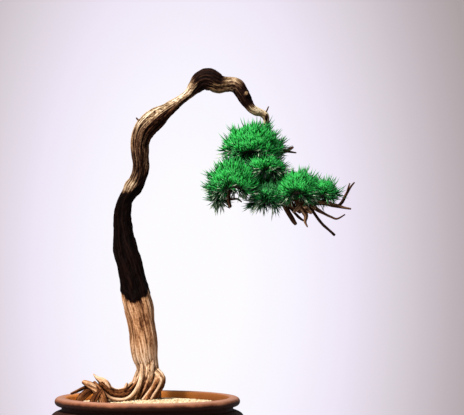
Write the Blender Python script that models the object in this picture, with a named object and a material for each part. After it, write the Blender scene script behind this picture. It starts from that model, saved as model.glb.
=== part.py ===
"""Literati bonsai in a round terracotta pot, at life size, in metres.

+Z is up, +X runs to the right as the tree is shown, and -Y is its front.  The origin is
the middle of the pot's underside.  The pot holds a mound of gravelly soil.  The tree is
one grown piece of wood: roots, leaning trunk, arched limb, hanging branch and dead
twigs.  Its needles grow in sprays, which are grouped in one node for each cloud of them.
"""
import math
import random

import bmesh
import bpy
from mathutils import Matrix, Vector
from mathutils.bvhtree import BVHTree

# Gap between pieces that touch
GAP = 0.0004

# Pot: heights above its underside, and radii
POT_HEIGHT = 0.130
LIP_RADIUS = 0.200
LIP_HEIGHT = 0.0187
LIP_CREST_RADIUS = 0.1865
MOUTH_RADIUS = 0.173
NECK_RADIUS = 0.186
BODY = ((0.1230, 0.0090), (0.1430, 0.0135), (0.1690, 0.0250), (0.1930, 0.0430), (0.2075, 0.0610),
        (0.2120, 0.0780), (0.2070, 0.0902), (0.1995, 0.0968), (0.1860, 0.1020))
CAVITY = ((0.1180, 0.0130), (0.1530, 0.0270), (0.1770, 0.0430), (0.1940, 0.0610), (0.1980, 0.0760),
          (0.1870, 0.0910), (0.1730, 0.1040))
FOOT_RADIUS = 0.121
FOOT_BEVEL = 0.003
POT_FLOOR = 0.013
POT_SIDES = 36
DRAIN_HOLES = 4
DRAIN_RING_RADIUS = 0.072
DRAIN_RADIUS = 0.008

# Soil: a low mound, highest round the trunk
SOIL_CREST = 0.1245
SOIL_EDGE = 0.1125
SOIL_MOUND_POWER = 1.6
SOIL_SIDES = POT_SIDES
SOIL_RINGS = 9
GRIT_RELIEF = 0.0024
GRIT_CLEARANCE = 0.0003
GRIT_SEED = 11

# The stub of the trunk that stands in the soil
PLUG_RADIUS = 0.020
PLUG_DEPTH = 0.055
PLUG_SIDES = 12
PLUG_MIDDLE = (0.004, 0.034)

# Wood: each row is a point on the centreline and the width across there
TRUNK = (
    (0.004, 0.034, 0.112, 0.052), (0.004, 0.034, 0.138, 0.052), (0.003, 0.033, 0.160, 0.051),
    (0.001, 0.032, 0.181, 0.049), (-0.002, 0.032, 0.199, 0.050), (-0.006, 0.031, 0.216, 0.056),
    (-0.008, 0.030, 0.238, 0.060), (-0.010, 0.029, 0.264, 0.059), (-0.014, 0.029, 0.290, 0.058),
    (-0.018, 0.030, 0.316, 0.062), (-0.024, 0.031, 0.340, 0.063), (-0.029, 0.032, 0.365, 0.060),
    (-0.034, 0.034, 0.391, 0.056), (-0.040, 0.036, 0.417, 0.053), (-0.048, 0.038, 0.441, 0.051),
    (-0.052, 0.040, 0.465, 0.045), (-0.054, 0.041, 0.489, 0.039), (-0.056, 0.041, 0.513, 0.035),
    (-0.055, 0.040, 0.535, 0.031), (-0.049, 0.039, 0.553, 0.028), (-0.040, 0.038, 0.567, 0.030),
    (-0.032, 0.036, 0.581, 0.036), (-0.024, 0.034, 0.596, 0.032), (-0.018, 0.033, 0.613, 0.031),
    (-0.015, 0.032, 0.632, 0.034), (-0.016, 0.031, 0.654, 0.038), (-0.017, 0.030, 0.673, 0.039),
    (-0.014, 0.028, 0.691, 0.041), (-0.006, 0.026, 0.708, 0.045), (0.009, 0.024, 0.723, 0.046),
    (0.024, 0.022, 0.735, 0.042), (0.039, 0.020, 0.746, 0.031), (0.056, 0.017, 0.758, 0.025),
    (0.074, 0.013, 0.771, 0.020), (0.090, 0.009, 0.783, 0.021), (0.103, 0.006, 0.797, 0.030),
    (0.115, 0.003, 0.809, 0.041), (0.129, 0.000, 0.814, 0.046), (0.142, -0.003, 0.811, 0.044),
    (0.155, -0.005, 0.804, 0.039), (0.170, -0.007, 0.803, 0.032), (0.182, -0.008, 0.803, 0.031),
    (0.194, -0.009, 0.799, 0.031), (0.202, -0.010, 0.788, 0.029), (0.209, -0.011, 0.776, 0.028),
    (0.216, -0.011, 0.762, 0.023), (0.223, -0.011, 0.750, 0.017), (0.234, -0.010, 0.742, 0.014),
    (0.249, -0.008, 0.738, 0.010))
DROP_BRANCH = (
    (0.238, -0.010, 0.741, 0.012), (0.250, -0.008, 0.737, 0.013), (0.255, -0.006, 0.729, 0.012),
    (0.256, -0.003, 0.716, 0.010), (0.257, 0.002, 0.696, 0.010), (0.261, 0.008, 0.673, 0.010),
    (0.265, 0.012, 0.649, 0.010), (0.270, 0.014, 0.628, 0.010), (0.278, 0.013, 0.606, 0.010),
    (0.290, 0.010, 0.584, 0.011), (0.308, 0.006, 0.565, 0.013), (0.327, 0.002, 0.552, 0.014),
    (0.346, 0.000, 0.546, 0.012), (0.366, -0.003, 0.549, 0.009), (0.387, -0.006, 0.548, 0.007),
    (0.409, -0.008, 0.542, 0.006), (0.426, -0.010, 0.538, 0.005), (0.438, -0.012, 0.535, 0.004))
LEFT_BRANCH = (
    (0.259, 0.006, 0.680, 0.008), (0.248, 0.001, 0.655, 0.008), (0.230, -0.003, 0.627, 0.008),
    (0.205, -0.008, 0.604, 0.008), (0.182, -0.012, 0.583, 0.008), (0.174, -0.014, 0.569, 0.007),
    (0.174, -0.015, 0.555, 0.006), (0.178, -0.016, 0.539, 0.005))
DEAD_TWIGS = (
    ((0.278, 0.012, 0.594, 0.008), (0.286, 0.008, 0.558, 0.007), (0.296, 0.004, 0.539, 0.007),
     (0.304, 0.000, 0.522, 0.007), (0.314, -0.004, 0.505, 0.008)),
    ((0.292, 0.012, 0.574, 0.005), (0.300, 0.014, 0.552, 0.0045), (0.312, 0.016, 0.535, 0.004),
     (0.327, 0.019, 0.516, 0.004), (0.344, 0.022, 0.496, 0.003)),
    ((0.323, 0.000, 0.552, 0.010), (0.332, -0.006, 0.537, 0.011), (0.338, -0.010, 0.524, 0.008),
     (0.341, -0.012, 0.510, 0.004)),
    ((0.344, 0.002, 0.546, 0.007), (0.358, 0.006, 0.524, 0.0055), (0.373, 0.010, 0.504, 0.005),
     (0.386, 0.013, 0.494, 0.0045), (0.400, 0.016, 0.481, 0.004)),
    ((0.353, -0.002, 0.546, 0.006), (0.368, -0.010, 0.531, 0.005), (0.382, -0.015, 0.523, 0.005),
     (0.395, -0.018, 0.519, 0.004), (0.406, -0.020, 0.516, 0.0035), (0.423, -0.023, 0.524, 0.003)),
    ((0.409, -0.009, 0.541, 0.005), (0.418, -0.004, 0.548, 0.006), (0.425, 0.000, 0.561, 0.006),
     (0.432, 0.003, 0.573, 0.005), (0.439, 0.005, 0.582, 0.004), (0.447, 0.008, 0.592, 0.003)),
    ((0.428, 0.001, 0.567, 0.004), (0.432, -0.004, 0.580, 0.0035), (0.436, -0.009, 0.590, 0.003)),
    ((0.262, 0.009, 0.662, 0.008), (0.282, 0.004, 0.657, 0.007), (0.299, 0.000, 0.660, 0.007),
     (0.312, -0.003, 0.666, 0.005)),
    ((0.294, 0.001, 0.659, 0.005), (0.308, 0.004, 0.658, 0.004), (0.319, 0.006, 0.657, 0.003)),
    ((0.251, -0.008, 0.735, 0.005), (0.257, -0.010, 0.746, 0.0035), (0.261, -0.012, 0.755, 0.003)),
    ((0.174, -0.014, 0.556, 0.005), (0.185, -0.020, 0.556, 0.0045), (0.195, -0.024, 0.556, 0.004),
     (0.203, -0.027, 0.550, 0.003)),
    ((-0.012, 0.026, 0.714, 0.007), (-0.019, 0.024, 0.725, 0.005), (-0.025, 0.022, 0.732, 0.003)))
ROOTS = (
    ((0.000, 0.030, 0.206, 0.028), (-0.006, 0.018, 0.176, 0.031), (-0.019, 0.004, 0.152, 0.030),
     (-0.038, -0.007, 0.139, 0.027), (-0.060, -0.016, 0.135, 0.026), (-0.077, -0.024, 0.139, 0.024),
     (-0.089, -0.030, 0.150, 0.022), (-0.098, -0.034, 0.160, 0.019)),
    ((-0.137, -0.030, 0.164, 0.011), (-0.123, -0.032, 0.156, 0.020), (-0.106, -0.036, 0.144, 0.025),
     (-0.095, -0.041, 0.129, 0.025), (-0.090, -0.044, 0.112, 0.020)),
    ((-0.116, -0.018, 0.180, 0.003), (-0.108, -0.022, 0.172, 0.009), (-0.097, -0.026, 0.165, 0.019),
     (-0.088, -0.028, 0.155, 0.021), (-0.080, -0.028, 0.142, 0.014)),
    ((-0.113, -0.034, 0.164, 0.007), (-0.104, -0.040, 0.151, 0.013), (-0.094, -0.047, 0.135, 0.014),
     (-0.088, -0.052, 0.115, 0.012)),
    ((-0.118, -0.031, 0.153, 0.012), (-0.134, -0.025, 0.151, 0.009), (-0.149, -0.016, 0.144, 0.008),
     (-0.164, -0.008, 0.137, 0.006)),
    ((-0.046, -0.009, 0.147, 0.010), (-0.045, -0.010, 0.155, 0.008), (-0.044, -0.010, 0.160, 0.004)),
    ((0.009, 0.026, 0.216, 0.024), (0.006, 0.016, 0.184, 0.025), (-0.006, 0.007, 0.153, 0.024),
     (-0.020, -0.002, 0.130, 0.024), (-0.028, -0.010, 0.112, 0.020)),
    ((0.012, 0.032, 0.208, 0.018), (0.019, 0.026, 0.190, 0.022), (0.027, 0.019, 0.173, 0.028),
     (0.023, 0.010, 0.155, 0.027), (0.013, 0.001, 0.138, 0.026), (0.006, -0.006, 0.114, 0.022)),
    ((0.002, 0.044, 0.200, 0.028), (0.006, 0.062, 0.165, 0.028), (0.008, 0.080, 0.135, 0.025),
     (0.006, 0.092, 0.112, 0.021)),
    ((-0.010, 0.044, 0.190, 0.028), (-0.024, 0.056, 0.156, 0.026), (-0.036, 0.070, 0.130, 0.024),
     (-0.044, 0.080, 0.110, 0.020)))

TRUNK_SIDES = 14
TRUNK_STEP = 0.0165
ROOT_SIDES = 7
ROOT_STEP = 0.016
BRANCH_SIDES = 6
BRANCH_STEP = 0.017
TWIG_SIDES = 5
TWIG_STEP = 0.018
RIDGE_TURNS_PER_METRE = 1.1

# Needles and the twigs that carry them
NEEDLE_LENGTH = 0.0215
NEEDLE_RADIUS = 0.0008
NEEDLE_TILT = math.radians(50)
NEEDLE_STEP = 0.0043
NEEDLE_FREE_GAP = 0.0006
NEEDLED_LENGTH = 0.027
LEAST_BARE_SHARE = 0.30
SPRAY_RADIUS = 0.0014
STEM_RADIUS = 0.0022
STEM_SIDES = 5
SEAT_START = 0.012
SEAT_STEP = 0.00005
GOLDEN_ANGLE = math.radians(137.508)

# Clouds of needles: the wood that carries each, where along it, the hub that the sprays
# spread from, how far they reach sideways, in depth, up and down, and their number
CLOUDS = {
    "foliage_top": (DROP_BRANCH, 4, (0.229, -0.018, 0.662), (0.082, 0.066, 0.070, 0.034), 22),
    "foliage_top_back": (DROP_BRANCH, 5, (0.247, 0.050, 0.664), (0.064, 0.054, 0.060, 0.036), 10),
    "foliage_middle": (DROP_BRANCH, 7, (0.264, -0.030, 0.626), (0.054, 0.046, 0.042, 0.034), 9),
    "foliage_left": (LEFT_BRANCH, 3, (0.190, -0.034, 0.594), (0.076, 0.052, 0.054, 0.040), 15),
    "foliage_left_tip": (LEFT_BRANCH, 4, (0.146, 0.004, 0.554), (0.040, 0.044, 0.036, 0.070), 10),
    "foliage_low": (DROP_BRANCH, 8, (0.250, -0.020, 0.557), (0.058, 0.048, 0.038, 0.044), 11),
    "foliage_low_back": (DROP_BRANCH, 9, (0.268, 0.056, 0.586), (0.062, 0.048, 0.044, 0.042), 8),
    "foliage_right": (DROP_BRANCH, 10, (0.318, -0.032, 0.582), (0.066, 0.054, 0.062, 0.030), 14),
    "foliage_right_back": (DROP_BRANCH, 11, (0.336, 0.048, 0.576), (0.056, 0.048, 0.052, 0.028), 7),
    "foliage_right_tip": (DROP_BRANCH, 13, (0.374, -0.008, 0.571), (0.050, 0.046, 0.046, 0.020), 10)}

# Colours, roughness
TERRACOTTA = ((0.36, 0.15, 0.08, 1.0), 0.62)
GRAVEL = ((0.80, 0.66, 0.40, 1.0), 0.92)
WOOD = ((0.30, 0.18, 0.10, 1.0), 0.80)
NEEDLES = ((0.05, 0.28, 0.09, 1.0), 0.60)


def clear_scene():
    for thing in list(bpy.data.objects):
        bpy.data.objects.remove(thing)


def material(name, colour, roughness):
    result = bpy.data.materials.new(name)
    result.use_nodes = True
    shader = result.node_tree.nodes["Principled BSDF"]
    shader.inputs["Base Color"].default_value = colour
    shader.inputs["Roughness"].default_value = roughness
    shader.inputs["Metallic"].default_value = 0.0
    result.diffuse_color = colour
    return result


def mesh_object(name, points, faces, finish=None):
    mesh = bpy.data.meshes.new(name)
    mesh.from_pydata([tuple(p) for p in points], [], faces)
    mesh.validate()
    result = bpy.data.objects.new(name, mesh)
    bpy.context.scene.collection.objects.link(result)
    if finish:
        mesh.materials.append(finish)
    return result


def spline_point(p0, p1, p2, p3, t):
    """A point of the Catmull-Rom curve between p1 and p2, in any number of numbers."""
    return [0.5 * (2 * b + (c - a) * t + (2 * a - 5 * b + 4 * c - d) * t ** 2
                   + (3 * b - a - 3 * c + d) * t ** 3)
            for a, b, c, d in zip(p0, p1, p2, p3)]


def smooth_rows(rows, step):
    """Rows along the smooth curve through the given ones, about one step apart."""
    padded = [rows[0], *rows, rows[-1]]
    result = []
    for i in range(len(rows) - 1):
        span = (Vector(rows[i + 1][:3]) - Vector(rows[i][:3])).length
        count = max(1, round(span / step))
        for k in range(count):
            result.append(spline_point(*padded[i:i + 4], k / count))
    result.append(list(rows[-1]))
    return result


def thinned(rows, step):
    """The same rows without those that follow the last kept one too closely."""
    kept = [rows[0]]
    for row in rows[1:-1]:
        if (Vector(row[:3]) - Vector(kept[-1][:3])).length >= step:
            kept.append(row)
    return kept + [rows[-1]]


def frames(points):
    """A side and an up direction at each point, carried along without twist."""
    last = len(points) - 1
    side = Vector((0.0, -1.0, 0.0))
    result = []
    for i in range(last + 1):
        tangent = (points[min(i + 1, last)] - points[max(i - 1, 0)]).normalized()
        side = (side - tangent * side.dot(tangent)).normalized()
        result.append((side.copy(), tangent.cross(side)))
    return result


def tube_mesh(rows, sides, shape=None):
    """Points and faces of a closed tube; shape(angle, travel) scales its radius."""
    points = [Vector(row[:3]) for row in rows]
    travel = 0.0
    verts = []
    for i, (side, up) in enumerate(frames(points)):
        if i:
            travel += (points[i] - points[i - 1]).length
        for k in range(sides):
            angle = 2 * math.pi * k / sides
            radius = rows[i][3] / 2 * (shape(angle, travel) if shape else 1.0)
            verts.append(points[i] + (side * math.cos(angle) + up * math.sin(angle)) * radius)
    faces = [tuple(reversed(range(sides)))]
    for i in range(len(rows) - 1):
        for k in range(sides):
            a = i * sides + k
            b = i * sides + (k + 1) % sides
            faces.append((a, b, b + sides, a + sides))
    faces.append(tuple(range((len(rows) - 1) * sides, len(rows) * sides)))
    return verts, faces


def tube(name, rows, sides, shape=None):
    return mesh_object(name, *tube_mesh(rows, sides, shape))


def turned_mesh(profile, sides):
    """A body turned about Z from a profile that runs from the axis back to the axis."""
    verts = []
    rings = []
    for radius, height in profile:
        if radius == 0.0:
            rings.append([len(verts)])
            verts.append(Vector((0.0, 0.0, height)))
            continue
        rings.append(list(range(len(verts), len(verts) + sides)))
        for k in range(sides):
            angle = 2 * math.pi * k / sides
            verts.append(Vector((radius * math.cos(angle), radius * math.sin(angle), height)))
    faces = []
    for low, high in zip(rings, rings[1:]):
        for k in range(sides):
            n = (k + 1) % sides
            if len(low) == 1:
                faces.append((low[0], high[n], high[k]))
            elif len(high) == 1:
                faces.append((low[k], low[n], high[0]))
            else:
                faces.append((low[k], low[n], high[n], high[k]))
    return verts, faces


def as_cutter(thing):
    thing.hide_render = True
    thing.display_type = "WIRE"
    return thing


def apply_modifiers(thing):
    depsgraph = bpy.context.evaluated_depsgraph_get()
    mesh = bpy.data.meshes.new_from_object(thing.evaluated_get(depsgraph))
    thing.modifiers.clear()
    thing.data = mesh


def boolean(thing, operation, others, solver="EXACT"):
    """Cut or join the others, as one collection, and remove them afterwards."""
    group = bpy.data.collections.new(thing.name + "_others")
    bpy.context.scene.collection.children.link(group)
    for other in others:
        group.objects.link(other)
        as_cutter(other)
    step = thing.modifiers.new(operation.title(), "BOOLEAN")
    step.operation = operation
    step.operand_type = "COLLECTION"
    step.collection = group
    step.solver = solver
    apply_modifiers(thing)
    for other in others:
        bpy.data.objects.remove(other)
    bpy.data.collections.remove(group)


def keep_main_body(thing):
    """Drop loose scraps and sealed pockets, and leave the largest body, in triangles."""
    bm = bmesh.new()
    bm.from_mesh(thing.data)
    bmesh.ops.triangulate(bm, faces=bm.faces)
    unseen = set(bm.verts)
    groups = []
    while unseen:
        start = unseen.pop()
        group = {start}
        front = [start]
        while front:
            for edge in front.pop().link_edges:
                for vert in edge.verts:
                    if vert in unseen:
                        unseen.discard(vert)
                        group.add(vert)
                        front.append(vert)
        groups.append(group)
    main = max(groups, key=len)
    bmesh.ops.delete(bm, geom=[v for v in bm.verts if v not in main], context="VERTS")
    bm.to_mesh(thing.data)
    bm.free()


def smooth_shading(thing, degrees):
    thing.data.shade_smooth()
    thing.data.set_sharp_from_angle(angle=math.radians(degrees))


def arc(middle, radius, start, stop, count):
    """Points of a circle arc in the profile's plane; the angles are in degrees."""
    result = []
    for k in range(count + 1):
        angle = math.radians(start + (stop - start) * k / count)
        result.append((middle[0] + radius * math.cos(angle), middle[1] + radius * math.sin(angle)))
    return result


def inset(profile, distance):
    """The profile moved to its left by a distance, square to its own direction."""
    result = []
    last = len(profile) - 1
    for i, (radius, height) in enumerate(profile):
        ahead = profile[min(i + 1, last)]
        behind = profile[max(i - 1, 0)]
        along = Vector((ahead[0] - behind[0], ahead[1] - behind[1])).normalized()
        result.append((radius - along.y * distance, height + along.x * distance))
    return result


def pot_profile():
    lip = LIP_HEIGHT / 2
    lip_middle = (LIP_RADIUS - lip, POT_HEIGHT - lip - 0.0006)
    return ([(0.0, 0.0), (FOOT_RADIUS - FOOT_BEVEL, 0.0), (FOOT_RADIUS, FOOT_BEVEL)]
            + list(BODY)
            + [(NECK_RADIUS, POT_HEIGHT - LIP_HEIGHT)]
            + arc(lip_middle, lip, -80, 80, 5)
            + [(LIP_CREST_RADIUS, POT_HEIGHT), (MOUTH_RADIUS + 0.004, POT_HEIGHT - 0.0012),
               (MOUTH_RADIUS, POT_HEIGHT - 0.006)]
            + list(reversed(CAVITY))
            + [(0.0, POT_FLOOR)])


def make_pot(finish):
    pot = mesh_object("pot", *turned_mesh(pot_profile(), POT_SIDES), finish)
    holes = []
    for k in range(DRAIN_HOLES):
        angle = math.radians(45) + 2 * math.pi * k / DRAIN_HOLES
        profile = [(0.0, -0.01), (DRAIN_RADIUS, -0.01), (DRAIN_RADIUS, POT_FLOOR + 0.01),
                   (0.0, POT_FLOOR + 0.01)]
        hole = mesh_object("drain_hole", *turned_mesh(profile, 12))
        offset = (DRAIN_RING_RADIUS * math.cos(angle), DRAIN_RING_RADIUS * math.sin(angle), 0.0)
        hole.data.transform(Matrix.Translation(offset))
        holes.append(hole)
    boolean(pot, "DIFFERENCE", holes)
    keep_main_body(pot)
    smooth_shading(pot, 35)


def soil_height(radius):
    """Height of the soil before its grit, which only dips below it."""
    share = min(1.0, radius / MOUTH_RADIUS)
    return SOIL_CREST - (SOIL_CREST - SOIL_EDGE) * share ** SOIL_MOUND_POWER


def soil_top(raised=0.0):
    """Profile of the mound from its edge to the axis."""
    edge = MOUTH_RADIUS - GAP
    radii = [edge * (SOIL_RINGS - k) / SOIL_RINGS for k in range(SOIL_RINGS + 1)]
    return [(radius, soil_height(radius) + raised) for radius in radii]


def make_soil(finish):
    wall = inset(CAVITY, GAP)
    profile = ([(0.0, POT_FLOOR + GAP), (CAVITY[0][0], POT_FLOOR + GAP)] + wall[1:-1]
               + [(MOUTH_RADIUS - GAP, CAVITY[-1][1])] + soil_top())
    verts, faces = turned_mesh(profile, SOIL_SIDES)
    rng = random.Random(GRIT_SEED)
    for vert in verts:
        radius = math.hypot(vert.x, vert.y)
        if vert.z > soil_height(radius) - 0.0001:
            vert.z -= GRIT_CLEARANCE + GRIT_RELIEF * rng.random()
            if radius < 0.95 * MOUTH_RADIUS:
                turn = (rng.random() - 0.5) * math.pi / SOIL_SIDES
                x, y = vert.x, vert.y
                vert.x = x * math.cos(turn) - y * math.sin(turn)
                vert.y = x * math.sin(turn) + y * math.cos(turn)
    soil = mesh_object("soil", verts, faces, finish)
    boolean(soil, "DIFFERENCE", [plug("soil_hole", PLUG_RADIUS + GAP, PLUG_DEPTH + GAP)])
    keep_main_body(soil)


def plug(name, radius, depth):
    """The upright stub below the trunk, from under the soil up into the wood."""
    top = SOIL_CREST + 0.020
    profile = [(0.0, SOIL_CREST - depth), (radius, SOIL_CREST - depth), (radius, top), (0.0, top)]
    result = mesh_object(name, *turned_mesh(profile, PLUG_SIDES))
    result.data.transform(Matrix.Translation((*PLUG_MIDDLE, 0.0)))
    return result


def trunk_shape(angle, travel):
    """Long ridges that wind slowly round the trunk."""
    turn = 2 * math.pi * RIDGE_TURNS_PER_METRE * travel
    return (1.0 + 0.050 * math.cos(2 * angle + turn) + 0.055 * math.cos(3 * angle - 1.7 * turn + 1.0)
            + 0.050 * math.cos(5 * angle + 1.3 * turn + 0.6))


def root_shape(angle, travel):
    return 1.0 + 0.10 * math.cos(2 * angle + 9 * travel) + 0.06 * math.cos(3 * angle - 20 * travel)


def below_soil_cutter():
    """Everything under a surface just above the soil, to trim the wood that rests on it."""
    wide = 0.30
    top = soil_top(GAP)
    profile = [(0.0, -0.05), (wide, -0.05), (wide, top[0][1])] + top
    return mesh_object("below_soil", *turned_mesh(profile, SOIL_SIDES))


def make_trunk(finish):
    trunk = tube("trunk", thinned(smooth_rows(TRUNK, TRUNK_STEP), 0.8 * TRUNK_STEP), TRUNK_SIDES,
                 trunk_shape)
    trunk.data.materials.append(finish)
    limbs = [tube("branch", smooth_rows(rows, BRANCH_STEP), BRANCH_SIDES, root_shape)
             for rows in (DROP_BRANCH, LEFT_BRANCH)]
    limbs += [tube("twig", smooth_rows(rows, TWIG_STEP), TWIG_SIDES) for rows in DEAD_TWIGS]
    limbs += [tube("root", smooth_rows(rows, ROOT_STEP), ROOT_SIDES, root_shape) for rows in ROOTS]
    boolean(trunk, "UNION", limbs)
    boolean(trunk, "DIFFERENCE", [below_soil_cutter()])
    boolean(trunk, "UNION", [plug("stub", PLUG_RADIUS, PLUG_DEPTH)])
    keep_main_body(trunk)
    smooth_shading(trunk, 50)
    return trunk


def segment_gap(a0, a1, b0, b1):
    """Shortest distance between two segments."""
    u = a1 - a0
    v = b1 - b0
    w = a0 - b0
    a = u.dot(u)
    b = u.dot(v)
    c = v.dot(v)
    d = u.dot(w)
    e = v.dot(w)
    spread = a * c - b * b
    s = max(0.0, min(1.0, (b * e - c * d) / spread)) if spread > 1e-12 else 0.0
    t = (b * s + e) / c
    if t < 0.0:
        t = 0.0
        s = max(0.0, min(1.0, -d / a))
    elif t > 1.0:
        t = 1.0
        s = max(0.0, min(1.0, (b - d) / a))
    return (w + u * s - v * t).length


def clear_of(rods, start, end, radius):
    """Whether a rod keeps its distance from every other rod."""
    middle = (start + end) / 2
    reach = (end - start).length / 2
    for a, b, other in rods:
        near = reach + (b - a).length / 2 + radius + other + NEEDLE_FREE_GAP
        if ((a + b) / 2 - middle).length_squared > near * near:
            continue
        if segment_gap(start, end, a, b) < radius + other + NEEDLE_FREE_GAP:
            return False
    return True


def wood_rods():
    """The wood near the needles, as straight rods with a radius."""
    result = []
    for rows in (TRUNK[30:], DROP_BRANCH, LEFT_BRANCH, *DEAD_TWIGS):
        fine = smooth_rows(rows, BRANCH_STEP)
        for a, b in zip(fine, fine[1:]):
            result.append((Vector(a[:3]), Vector(b[:3]), 0.58 * max(a[3], b[3])))
    return result


def seated(wood_surface, seat, away):
    """The point on a line out of the wood where a stem's flat end just clears the wood."""
    side = away.orthogonal().normalized()
    rim = [Vector()]
    for k in range(2 * STEM_SIDES):
        rim.append(Matrix.Rotation(math.pi * k / STEM_SIDES, 3, away) @ side * STEM_RADIUS)
    travel = SEAT_START
    while travel > 0.0:
        middle = seat + away * travel
        if min(wood_surface.find_nearest(middle + point)[3] for point in rim) < GAP:
            break
        travel -= SEAT_STEP
    return seat + away * (travel + SEAT_STEP)


def stem_rows(cloud, wood_surface):
    """The stem from just off the wood that carries it to the cloud's hub."""
    rows, index, hub, _, _ = cloud
    seat = Vector(rows[index][:3])
    along = (Vector(rows[index + 1][:3]) - Vector(rows[index - 1][:3])).normalized()
    hub = Vector(hub)
    away = hub - seat
    away = (away - along * away.dot(along)).normalized()
    start = seated(wood_surface, seat, away)
    bend = start + away * 0.3 * (hub - start).length
    width = 2 * STEM_RADIUS
    return [(*start, width), (*bend, width), (*hub, 2 * SPRAY_RADIUS)]


def spray_bends(cloud, number):
    """Start, bend and tip of a spray, which leaves the hub sideways and turns upward."""
    _, _, hub, reach, count = cloud
    hub = Vector(hub)
    lift = 1.0 - 1.5 * (number + 0.5) / count
    level = math.sqrt(max(0.0, 1.0 - lift * lift))
    angle = number * GOLDEN_ANGLE
    upward = reach[2] if lift > 0 else reach[3]
    share = 1.0 - 0.16 * ((number * 7) % 5) / 4
    target = Vector((reach[0] * level * math.cos(angle), reach[1] * level * math.sin(angle),
                     upward * lift)) * share
    tip = target * max(0.3, (target.length - 0.8 * NEEDLE_LENGTH) / target.length)
    bend = Vector((0.55 * tip.x, 0.55 * tip.y, 0.38 * tip.z))
    return hub, hub + bend, hub + tip


def spray_points(bends):
    """Points along the spray's curve: one where it starts, then one for each ring."""
    start, bend, tip = bends
    length = (bend - start).length + (tip - bend).length
    bare = max(LEAST_BARE_SHARE, 1.0 - NEEDLED_LENGTH / length)
    rings = max(4, round((1.0 - bare) * length / NEEDLE_STEP))
    shares = [0.0] + [bare + (1.0 - bare) * k / rings for k in range(rings + 1)]
    return [start * (1 - t) ** 2 + bend * 2 * t * (1 - t) + tip * t * t for t in shares]


def spray_mesh(points, is_free):
    """A three-sided twig, each ring turned half a side from the last, with a needle
    raised from every second face where is_free(start, end) finds room for it."""
    verts = []
    lines = frames(points)
    for i, (side, up) in enumerate(lines):
        for k in range(3):
            angle = 2 * math.pi * (k + 0.5 * i) / 3
            verts.append(points[i] + (side * math.cos(angle) + up * math.sin(angle)) * SPRAY_RADIUS)
    faces = [(2, 1, 0)]
    needles = []
    for i in range(len(points) - 1):
        along = (points[i + 1] - points[i]).normalized()
        for k in range(3):
            a, b = 3 * i + k, 3 * i + (k + 1) % 3
            c, d = a + 3, b + 3
            faces.append((b, d, c))
            root = (verts[a] + verts[b] + verts[c]) / 3
            out = root - points[i]
            out = (out - along * out.dot(along)).normalized()
            length = NEEDLE_LENGTH * (0.84 + 0.16 * math.cos(5.0 * i + 2.0 * k))
            end = root + (out * math.sin(NEEDLE_TILT) + along * math.cos(NEEDLE_TILT)) * length
            if i == 0 or not is_free(root, end):
                faces.append((a, b, c))
                continue
            needles.append((root, end, NEEDLE_RADIUS))
            faces += [(a, b, len(verts)), (b, c, len(verts)), (c, a, len(verts))]
            verts.append(end)
    last = 3 * (len(points) - 1)
    ahead = (points[-1] - points[-2]).normalized()
    end = points[-1] + ahead * NEEDLE_LENGTH
    if is_free(points[-1], end):
        needles.append((points[-1], end, NEEDLE_RADIUS))
        faces += [(last, last + 1, len(verts)), (last + 1, last + 2, len(verts)),
                  (last + 2, last, len(verts))]
        verts.append(end)
    else:
        faces.append((last, last + 1, last + 2))
    return verts, faces, needles


def path_rods(points, radius):
    return [(a, b, radius) for a, b in zip(points, points[1:])]


def plan_clouds(trunk):
    """The stem of every cloud, the sprays that cross nothing, and each cloud's rods."""
    wood = wood_rods()
    wood_surface = BVHTree.FromPolygons([vert.co for vert in trunk.data.vertices],
                                        [tuple(face.vertices) for face in trunk.data.polygons])
    stems = {name: stem_rows(cloud, wood_surface) for name, cloud in CLOUDS.items()}
    rods = {name: path_rods([Vector(row[:3]) for row in rows], STEM_RADIUS)
            for name, rows in stems.items()}
    sprays = {}
    for name, cloud in CLOUDS.items():
        others = wood + [rod for other in rods if other != name for rod in rods[other]]
        sprays[name] = []
        for number in range(cloud[4]):
            bends = spray_bends(cloud, number)
            own = path_rods(bends, SPRAY_RADIUS)
            if all(clear_of(others, *rod) for rod in own):
                sprays[name].append(bends)
                rods[name] += own
    return stems, sprays, rods, wood


def make_foliage(finish, trunk):
    stems, sprays, rods, wood = plan_clouds(trunk)
    for name, rows in stems.items():
        cloud = tube(name, rows, STEM_SIDES)
        cloud.data.materials.append(finish)
        twigs = []
        for bends in sprays[name]:
            own = path_rods(bends, SPRAY_RADIUS)
            others = wood + [rod for group in rods.values() for rod in group if rod not in own]

            def is_free(start, end):
                return clear_of(others, start, end, NEEDLE_RADIUS)

            verts, faces, needles = spray_mesh(spray_points(bends), is_free)
            twigs.append(mesh_object(name + "_spray", verts, faces))
            rods[name] += needles
        boolean(cloud, "UNION", twigs, "MANIFOLD")
        keep_main_body(cloud)


def main():
    clear_scene()
    make_pot(material("terracotta", *TERRACOTTA))
    make_soil(material("gravel", *GRAVEL))
    trunk = make_trunk(material("bark", *WOOD))
    make_foliage(material("needles", *NEEDLES), trunk)


main()
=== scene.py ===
"""Looks of the literati bonsai: fine wood, needles, gravel and a turned pot, in metres.

+Z is up, +X runs to the right as the tree is shown, and -Y is its front.  Each piece here
stands for one or more solids of the frame and keeps their places and main sizes.
"""

import math

import bpy
import numpy as np
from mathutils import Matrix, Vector
from mathutils.bvhtree import BVHTree


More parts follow.
